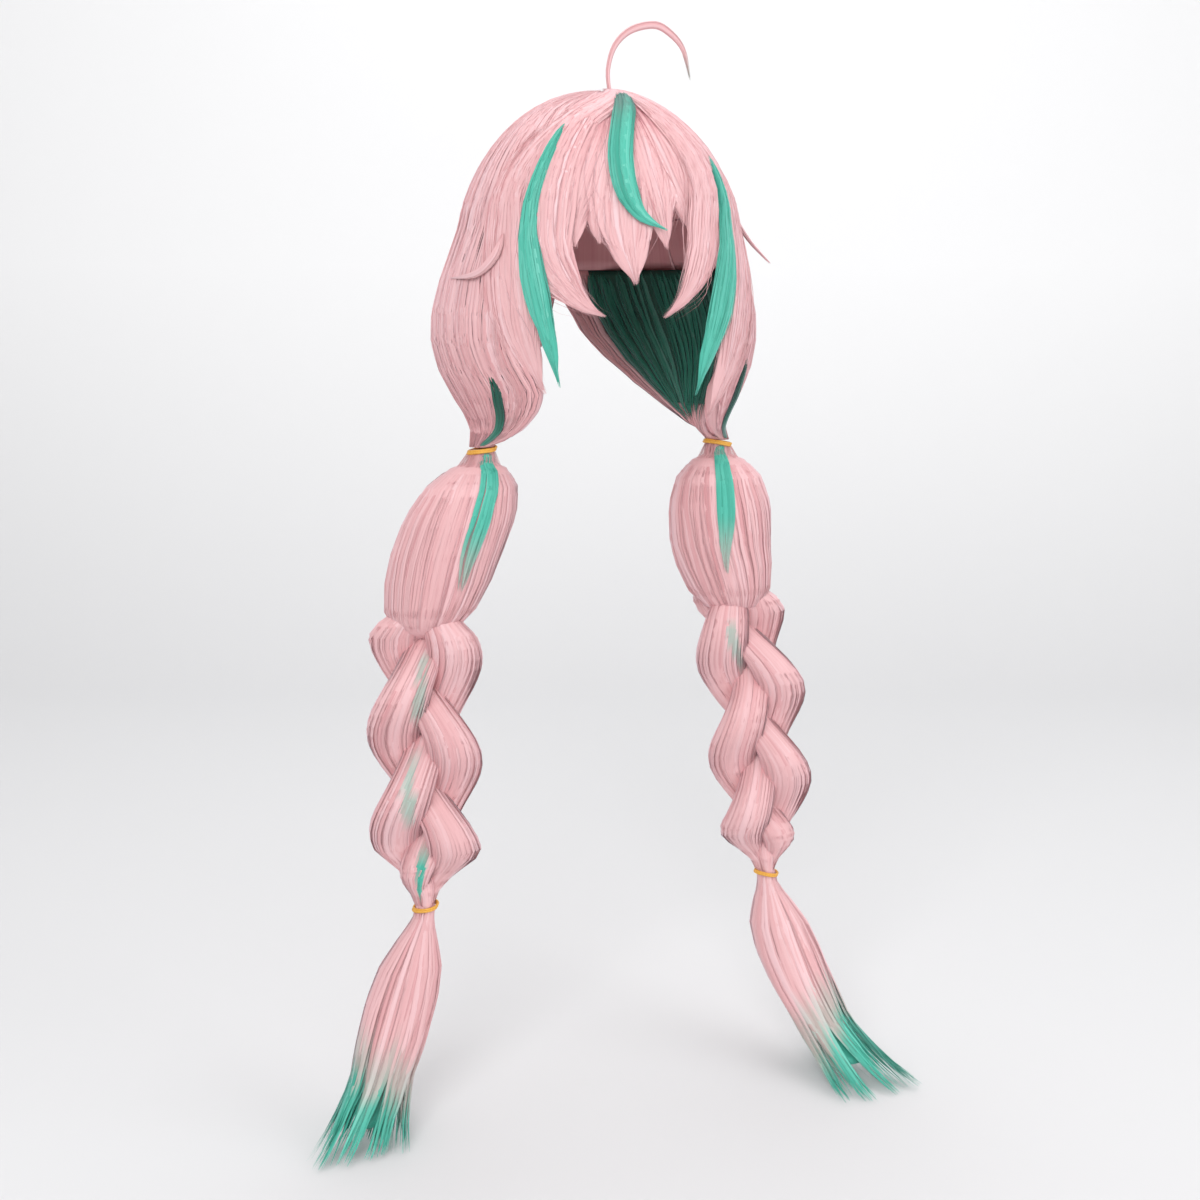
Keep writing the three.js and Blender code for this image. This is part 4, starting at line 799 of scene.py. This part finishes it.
def antenna():
    """Curled lock on the crown: a flat oval core along the table's curve, with wisps and loose hairs."""
    rng = np.random.default_rng(41)
    foot = hair_form(np.array(float(ANTENNA_TURN)), np.array(ANTENNA_FALL), 0.0)
    line = lambda t: stack(foot[0] + along(ANTENNA["out"], t) * ANTENNA_SPAN, foot[1],
                           foot[2] + along(ANTENNA["up"], t) * ANTENNA_HEIGHT)
    half = lambda t: along(ANTENNA["wide"], t) * ANTENNA_WIDTH / 2

    def place(t, wide, deep):
        ahead = unit(line(np.minimum(t + 0.01, 1)) - line(np.maximum(t - 0.01, 0)))
        flat = stack(ahead[..., 2], 0.0, -ahead[..., 0])
        return line(t) + flat * wide[..., None] + stack(0.0, deep, 0.0), flat

    t = np.linspace(0, 0.97, 40)[:, None]
    turn = np.linspace(0, 2 * np.pi, 11)[:-1][None]
    slim = 0.8 * taper(t, 0.02, 0.12)
    ring, _ = place(t + 0 * turn, half(t) * slim * np.cos(turn), ANTENNA_THICKNESS / 2 * slim * np.sin(turn))
    fade = lambda t: 0.0 + 0.5 * smooth((t - 0.86) / 0.12)
    # The core is a little darker than the wisps: painted shade in the gaps between them
    parts = [tubes(ring[None], np.array([0.4]), fade(t).T)]
    for number, sides, size in ((16, 5, 0.8 * MM), (14, 3, 0.22 * MM)):
        s = places(sides, 28, 24)
        last = 1 - 0.1 * rng.uniform(0, 1, (number, 1)) ** 2
        t = s * last
        angle = rng.uniform(0, 2 * np.pi, (number, 1))
        wide = 0.9 * np.cos(angle) * half(t) + waver(rng, (number, 1), s, 0.35 * MM) * smooth(s)
        deep = 0.9 * np.sin(angle) * ANTENNA_THICKNESS / 2 * taper(s, 0.02, 0.1, 0.3)
        centre, flat = place(t, wide, deep + 0 * s)
        outward = unit(flat * np.cos(angle)[..., None] + stack(0.0, np.sin(angle), 0.0))
        width = size * taper(s, 0.02, 0.25) * rng.uniform(0.7, 1.1, (number, 1))
        parts.append(wisps(centre, outward, width, width * 0.6, sides, rng, fade(t)))
    piece("antenna_lock_visual", parts, hair_pink, ["antenna_lock"])


# Pigtails
def bulge_size(down):
    """Half width and half depth of the bulge at a share of its length."""
    row = lambda key: np.interp(down, BULGE["down"], BULGE[key])
    return (mix(row("wide") * BULGE_WIDTH / 2, NECK_RADIUS, row("neck")),
            mix(row("deep") * BULGE_DEPTH / 2, NECK_RADIUS, row("neck")))


def bulge_point(side, down, angle, lift, dents):
    """Point of the bulge: an oval round the pigtail's middle, with a few soft dents along it."""
    wide, deep = bulge_size(down)
    full = smooth(down / 0.3) * smooth((1.02 - down) / 0.25)
    dent = 1 - (0.035 * full * (1 + np.sin(3 * angle + dents + 2.2 * down))
                * (0.6 + 0.4 * np.sin(5 * angle + dents)))
    centre = pigtail_middle(side, -TIE_DROP - down * BULGE_LENGTH)
    return centre + stack(side * (wide * dent + lift) * np.sin(angle),
                          -(deep * dent + lift) * np.cos(angle), 0.0)


def bulge(side, name):
    """Puffed hair under the upper tie: an oval core with wisps that run from the tie to the braid."""
    rng = np.random.default_rng(51 + side)
    dents = 1.3 * side
    down = np.linspace(0.0, 1.0, 44)[:, None]
    turn = np.linspace(0, 2 * np.pi, 49)[:-1][None]
    parts = [tubes(bulge_point(side, down, turn, -0.5 * MM, dents)[None], np.array([0.5]), 0.0)]
    for number, sides, half_size in ((180, 5, 3.4 * MM), (170, 3, 0.3 * MM)):
        s = places(sides, 17, 14)
        angle = rng.uniform(0, 2 * np.pi, (number, 1)) + 0.25 * side * smooth(s)
        angle = angle + waver(rng, (number, 1), s, 0.02)
        lift = rng.uniform(-0.4, 0.3, (number, 1)) * MM
        lift = lift + waver(rng, (number, 1), s, 0.25 * MM) * np.sin(np.pi * s)
        lift = lift + (0.5 * MM if sides == 3 else 0)
        wide, deep = bulge_size(s)
        spread = (wide + deep) / (BULGE_WIDTH / 2 + BULGE_DEPTH / 2)
        centre = bulge_point(side, s + 0 * angle, angle, lift, dents)
        outward = stack(side * np.sin(angle), -np.cos(angle), 0.0)
        half = half_size * np.clip(spread, 0.3, 1) * rng.uniform(0.7, 1.2, (number, 1))
        parts.append(wisps(centre, outward, half, half * THICKNESS[sides], sides, rng))
    piece(name + "_bulge_visual", parts, hair_pink, [name + "_bulge"])


def bulge_streak(side, name):
    """Teal streak on the front of the bulge: wisps side by side that follow its surface."""
    rng = np.random.default_rng(61 + side)
    parts = []
    for number, sides, size in ((26, 5, 1.7 * MM), (20, 3, 0.3 * MM)):
        s = places(sides, 16, 12)
        last = 1 - 0.35 * rng.uniform(0, 1, (number, 1)) ** 2
        t = s * last
        down = along(STREAK["down"], t) - 0.04 * (1 - s)
        lie = rng.uniform(-1, 1, (number, 1))
        wide, _ = bulge_size(down)
        half = along(STREAK["wide"], t) * STREAK_WIDTH / 2
        angle = np.radians(along(STREAK["turn"], t)) + lie * half / np.maximum(wide, 0.012)
        angle = angle + waver(rng, (number, 1), s, 0.015)
        lift = (0.3 + 1.6 * (1 - lie ** 2) + rng.uniform(-0.3, 0.5, (number, 1))) * MM * smooth(s / 0.1)
        centre = bulge_point(side, down, angle, lift, 1.3 * side)
        outward = stack(side * np.sin(angle), -np.cos(angle), 0.0)
        width = size * taper(s, 0.08, 0.35) * rng.uniform(0.7, 1.2, (number, 1))
        fade = 1 - 0.55 * smooth((t - 0.6) / 0.4)
        parts.append(wisps(centre, outward, width, width * 0.45, sides, rng, fade))
    piece(name + "_bulge_streak_visual", parts, hair_pink, [name + "_bulge_streak"])


def strand_shape(side, index, z):
    """Centre and half sizes of a braid strand at a height: it sways and weaves by sine waves."""
    top = -TIE_DROP - BULGE_LENGTH * BRAID_TOP
    bottom = LOWER_TIES[side][2]
    phase = 2 * np.pi * ((z + TIE_DROP + BRAID_START[side]) / BRAID_PERIOD + index / 3)
    closing = smooth((z - bottom) / BRAID_CLOSE)
    begin = smooth(mix(BRAID_BEGIN, 1, (top - z) / BRAID_OPEN))
    opened = closing * begin
    lobe = mix(STRAND_CROSSING, 1, np.abs(np.cos(phase)) ** 1.5)
    bunch_turn = index * 2 * np.pi / 3 + BUNCH_TURN
    bunch = LOWER_NECK_RADIUS / 2
    centre = pigtail_middle(side, z) + stack(
        side * mix(bunch * np.cos(bunch_turn), BRAID_SWAY * np.cos(phase), opened),
        mix(bunch * np.sin(bunch_turn), -BRAID_WEAVE * np.sin(2 * phase), opened), 0.0)
    return centre, mix(bunch, STRAND_WIDTH / 2 * lobe, opened), mix(bunch, STRAND_DEPTH / 2 * lobe, opened)


def strand(side, name, index):
    """One of three braid strands: an oval core that sways, with wisps and hairs along it."""
    rng = np.random.default_rng(71 + 10 * side + index)
    top = -TIE_DROP - BULGE_LENGTH * BRAID_TOP
    bottom = LOWER_TIES[side][2] + 0.5 * MM
    z = np.linspace(top, bottom, 48)[:, None]
    turn = np.linspace(0, 2 * np.pi, 21)[:-1][None]

    def place(z, angle, share):
        centre, wide, deep = strand_shape(side, index, z)
        return centre + stack(side * wide * share * np.sin(angle), -deep * share * np.cos(angle), 0.0)

    parts = [tubes(place(z, turn, 0.975)[None], np.array([0.5]), 0.0)]
    high, low, *turns, strength = BRAID_STREAKS.get((side, index), (1, 0, 0, 0, 0))
    for number, sides, size in ((58, 5, 3.7 * MM), (52, 3, 0.3 * MM)):
        s = places(sides, 26, 22)
        angle = rng.uniform(-np.pi, np.pi, (number, 1))
        share = rng.uniform(0.97, 1.01, (number, 1)) + waver(rng, (number, 1), s, 0.006)
        share = share + (0.02 if sides == 3 else 0)
        path = angle + 0.5 * (s - 0.5) + waver(rng, (number, 1), s, 0.03)
        z = mix(top, bottom, s) + 0 * angle
        _, wide, _ = strand_shape(side, index, z)
        half = size * np.clip(wide / (STRAND_WIDTH / 2), 0.25, 1) * rng.uniform(0.7, 1.2, (number, 1))
        # A streak is a few wisps side by side, and it fades in and out along them
        ends = smooth((high - z) / (12 * MM)) * smooth((z - low) / (12 * MM))
        streak_turn = mix(*turns, np.clip((high - z) / (high - low), 0, 1))
        dye = strength * ends * (1 - smooth((np.abs(path - streak_turn) - 0.2) / 0.12))
        outward = stack(side * np.sin(path), -np.cos(path), 0.0)
        parts.append(wisps(place(z, path, share), outward, half, half * THICKNESS[sides],
                           sides, rng, dye))
    piece(f"{name}_braid_strand_{index + 1}_visual", parts, hair_pink, [f"{name}_braid_strand_{index + 1}"])


def tail_point(side, down, across, deep):
    """Point of the tail: its middle leans outwards and forwards as it drops.

    The lean, half width and half depth come from the table, and across and deep are shares of them."""
    tie = LOWER_TIES[side]
    row = lambda key: np.interp(down, TAIL["down"], TAIL[key])
    lean = row("lean")
    wide = mix(row("wide") * TAIL_WIDTH / 2, LOWER_NECK_RADIUS, row("neck"))
    thick = mix(row("deep") * TAIL_DEPTH / 2, LOWER_NECK_RADIUS, row("neck"))
    return stack(tie[0] + side * TAIL_OUT[side] * lean + wide * across,
                 tie[1] - TAIL_FORWARD[side] * lean * lean + thick * deep,
                 mix(tie[2] + 2 * MM, FLOOR, down))


def tail(side, name):
    """Loose end: wisps over a full core, drawn together at the tie. Lower down they gather into
    pointed locks, and the dyed tips spread outwards along the floor."""
    rng = np.random.default_rng(91 + side)
    down = np.linspace(0.0, 0.9, 34)[:, None]
    turn = np.linspace(0, 2 * np.pi, 33)[:-1][None]
    share = mix(0.94, 0.88, smooth(down / 0.2)) * mix(1, 0.3, smooth((down - 0.6) / 0.3))

    def dyed(down, outer, start):
        """Pink turns grey and then teal, sooner on the outer side."""
        begin = start - 0.09 * outer
        return 0.4 * smooth((down - begin + 0.2) / 0.16) + 0.6 * smooth((down - begin) / 0.08)

    core = tail_point(side, down + 0 * turn, share * np.cos(turn), share * np.sin(turn))
    parts = [tubes(core[None], 0.5, dyed(down, side * np.cos(turn), 0.74)[None])]
    for number, sides, size in ((330, 5, 2.7 * MM), (330, 3, 0.28 * MM)):
        s = places(sides, 18, 16)
        angle = rng.uniform(0, 2 * np.pi, (number, 1))
        shell = rng.uniform(0, 1, (number, 1)) < 0.7
        ring = np.where(shell, rng.uniform(0.88, 1.0, (number, 1)),
                        np.sqrt(rng.uniform(0.05, 0.8, (number, 1))))
        last = mix(0.8, 1.02, rng.uniform(0, 1, (number, 1)) ** 0.8)
        down = s * last
        part = np.floor(angle / (2 * np.pi / TAIL_LOCKS))
        part_turn = (part + 0.5) * 2 * np.pi / TAIL_LOCKS
        draw = 0.5 * smooth((down - 0.55) / 0.42)
        loose = waver(rng, (number, 1), s, 0.05) * smooth(s)
        across = np.clip(mix(ring * np.cos(angle), 0.74 * np.cos(part_turn), draw) + loose, -0.82, 0.82)
        deep = mix(ring * np.sin(angle), 0.74 * np.sin(part_turn), draw) + loose[::-1]
        centre = tail_point(side, down, across, deep)
        # Each lock's tip runs on along the floor in its own direction
        past = np.maximum(down - 0.8, 0) * (0.55 + 0.45 * np.sin(2.3 * part + 1))
        centre[..., 0] += side * past * 24 * MM
        centre[..., 1] -= past * 60 * MM * np.cos(1.7 * part)
        lowest = FLOOR + rng.uniform(0.5, 6, (number, 1)) * MM
        centre[..., 2] = lowest + np.logaddexp(0, (centre[..., 2] - lowest) / (5 * MM)) * 5 * MM
        outward = unit(stack(np.cos(angle) + 0 * s, np.sin(angle), 0.3))
        width = size * mix(0.5, 1, smooth(down / 0.25)) * taper(s, NO_TAPER, 0.28)
        half = width * rng.uniform(0.7, 1.2, (number, 1))
        start = 0.74 + 0.05 * rng.uniform(-1, 1, (number, 1))
        parts.append(wisps(centre, outward, half, half * (0.22 if sides == 5 else ROUND), sides, rng,
                           dyed(down, side * np.cos(angle), start)))
    piece(name + "_tail_visual", parts, hair_pink, [name + "_tail"])


def elastic_band(side, name, tie, radius):
    """Thin elastic wound three times: a tube round a circle whose height and radius wander each turn."""
    turns = 3
    t = np.linspace(0, 2 * np.pi * turns, 46 * turns + 1)[:-1]
    rise = (1.1 * np.sin(t / turns) + 0.35 * np.sin(2 * t)) * MM
    reach = radius + 1.7 * MM + 0.5 * MM * np.sin(t * (turns + 1) / turns)
    slant = 0.16 * side
    x = reach * np.cos(t)
    centre = tie + stack(x, reach * np.sin(t), rise - x * slant)
    outward = unit(stack(np.cos(t), np.sin(t), 0.0))
    half = np.full((1, len(t)), 1.25 * MM)
    rng = np.random.default_rng(5)
    made = wisps(centre[None], outward[None], half, half, 8, rng, 0.0, np.zeros(1))
    piece(name, [made], elastic, [name.replace("_visual", "")])


crown()
antenna()
for seed, (name, (width, rows)) in enumerate(LOCKS.items(), 100):
    slim = 0.35 if "flick" in name else 1.0
    shadow = 0.6 if "fringe" in name else 0.5 if "forelock" in name else 0.12
    teal = "teal" in name
    count = int(width * 1.9 * slim) + 16
    made = lock_parts(rows, width * MM, seed, count, int(count * 0.7), shadow)
    piece(name + "_visual", made, hair_teal if teal else hair_pink, [name])

for side, name in ((-1, "right"), (1, "left")):
    side_hair(side, name)
    nape_hair(side, name)
    under_lock(side, name)
    elastic_band(side, name + "_upper_band_visual", TIES[side], NECK_RADIUS)
    bulge(side, name)
    bulge_streak(side, name)
    for index in range(3):
        strand(side, name, index)
    elastic_band(side, name + "_lower_band_visual", LOWER_TIES[side], LOWER_NECK_RADIUS)
    tail(side, name)


# Stage, light and camera
def backdrop_material():
    """Matt paper that is painted a little darker on the floor than on the wall, by height: painted shade."""
    material = bpy.data.materials.new("backdrop")
    material.use_nodes = True
    nodes, links = material.node_tree.nodes, material.node_tree.links
    shader = nodes["Principled BSDF"]
    place, part = nodes.new("ShaderNodeTexCoord"), nodes.new("ShaderNodeSeparateXYZ")
    links.new(place.outputs["Object"], part.inputs["Vector"])
    rise = nodes.new("ShaderNodeMapRange")
    rise.inputs["From Min"].default_value = FLOOR
    rise.inputs["From Max"].default_value = FLOOR + 0.9
    links.new(part.outputs["Z"], rise.inputs["Value"])
    shade = nodes.new("ShaderNodeValToRGB")
    shade.color_ramp.elements[0].color = (0.7, 0.7, 0.71, 1)
    shade.color_ramp.elements[1].color = (0.93, 0.93, 0.935, 1)
    links.new(rise.outputs["Result"], shade.inputs["Fac"])
    links.new(shade.outputs["Color"], shader.inputs["Base Color"])
    shader.inputs["Roughness"].default_value = 0.9
    return material


def backdrop():
    """Pale floor that curves up into a wall behind: a profile carried sideways."""
    turn = np.radians(20.0)
    bend = np.linspace(0, np.pi / 2, 24)
    radius = 0.9
    far = 1.6
    run = np.concatenate([[-4.0], far + radius * np.sin(bend), [far + radius]])
    rise = np.concatenate([[0.0], radius * (1 - np.cos(bend)), [4.5]])
    across = np.array([-5.0, 5.0])
    side_way = np.array([np.cos(turn), -np.sin(turn)])
    back_way = np.array([np.sin(turn), np.cos(turn)])
    place = across[None, :, None] * side_way + run[:, None, None] * back_way
    height = np.broadcast_to((rise + FLOOR)[:, None, None], (len(run), 2, 1))
    co = np.concatenate([place, height], -1).reshape(-1, 3)
    first = np.arange(len(run) - 1) * 2
    faces = np.stack([first, first + 1, first + 3, first + 2], -1)
    mesh = bpy.data.meshes.new("backdrop")
    mesh.from_pydata(co.tolist(), [], faces.tolist())
    mesh.polygons.foreach_set("use_smooth", np.ones(len(faces), bool))
    made = bpy.data.objects.new("backdrop", mesh)
    bpy.context.scene.collection.objects.link(made)
    mesh.materials.append(backdrop_material())


def area_light(name, place, aim, size, power):
    lamp = bpy.data.lights.new(name, "AREA")
    lamp.shape = "DISK"
    lamp.size = size
    lamp.energy = power
    made = bpy.data.objects.new(name, lamp)
    made.location = place
    made.rotation_euler = (Vector(aim) - Vector(place)).to_track_quat("-Z", "Y").to_euler()
    bpy.context.scene.collection.objects.link(made)


backdrop()
WIG_MIDDLE = (0.0, 0.0, -0.4)
area_light("key", (-1.6, -2.4, 1.5), WIG_MIDDLE, 2.2, 60)
area_light("fill", (2.2, -2.0, 0.4), WIG_MIDDLE, 2.4, 32)
area_light("top", (0.2, 0.6, 2.4), WIG_MIDDLE, 2.6, 40)

world = bpy.data.worlds.new("studio")
world.use_nodes = True
world.node_tree.nodes["Background"].inputs["Color"].default_value = (1, 1, 1, 1)
world.node_tree.nodes["Background"].inputs["Strength"].default_value = 0.55
bpy.context.scene.world = world
bpy.context.scene.view_settings.view_transform = "Standard"

# The photograph's view: turned 20 degrees, 11.1 degrees down, 1490 px of focal length in 1200 px
VIEW_TURN = np.radians(20.0)
VIEW_PITCH = np.radians(11.1)
VIEW_DISTANCE = 1425 * MM
EYE_HEIGHT = -174 * MM
FOCAL_PX = 1490
FRAME_PX = 1200
camera_data = bpy.data.cameras.new("camera")
camera_data.sensor_width = 36
camera_data.lens = 36 * FOCAL_PX / FRAME_PX
camera = bpy.data.objects.new("camera", camera_data)
away = np.array([np.sin(VIEW_TURN), np.cos(VIEW_TURN), 0.0])
camera.location = tuple(-VIEW_DISTANCE * away + np.array([0, 0, EYE_HEIGHT]))
look = away * np.cos(VIEW_PITCH) - np.array([0, 0, np.sin(VIEW_PITCH)])
camera.rotation_euler = Vector(look).to_track_quat("-Z", "Y").to_euler()
bpy.context.scene.collection.objects.link(camera)
bpy.context.scene.camera = camera
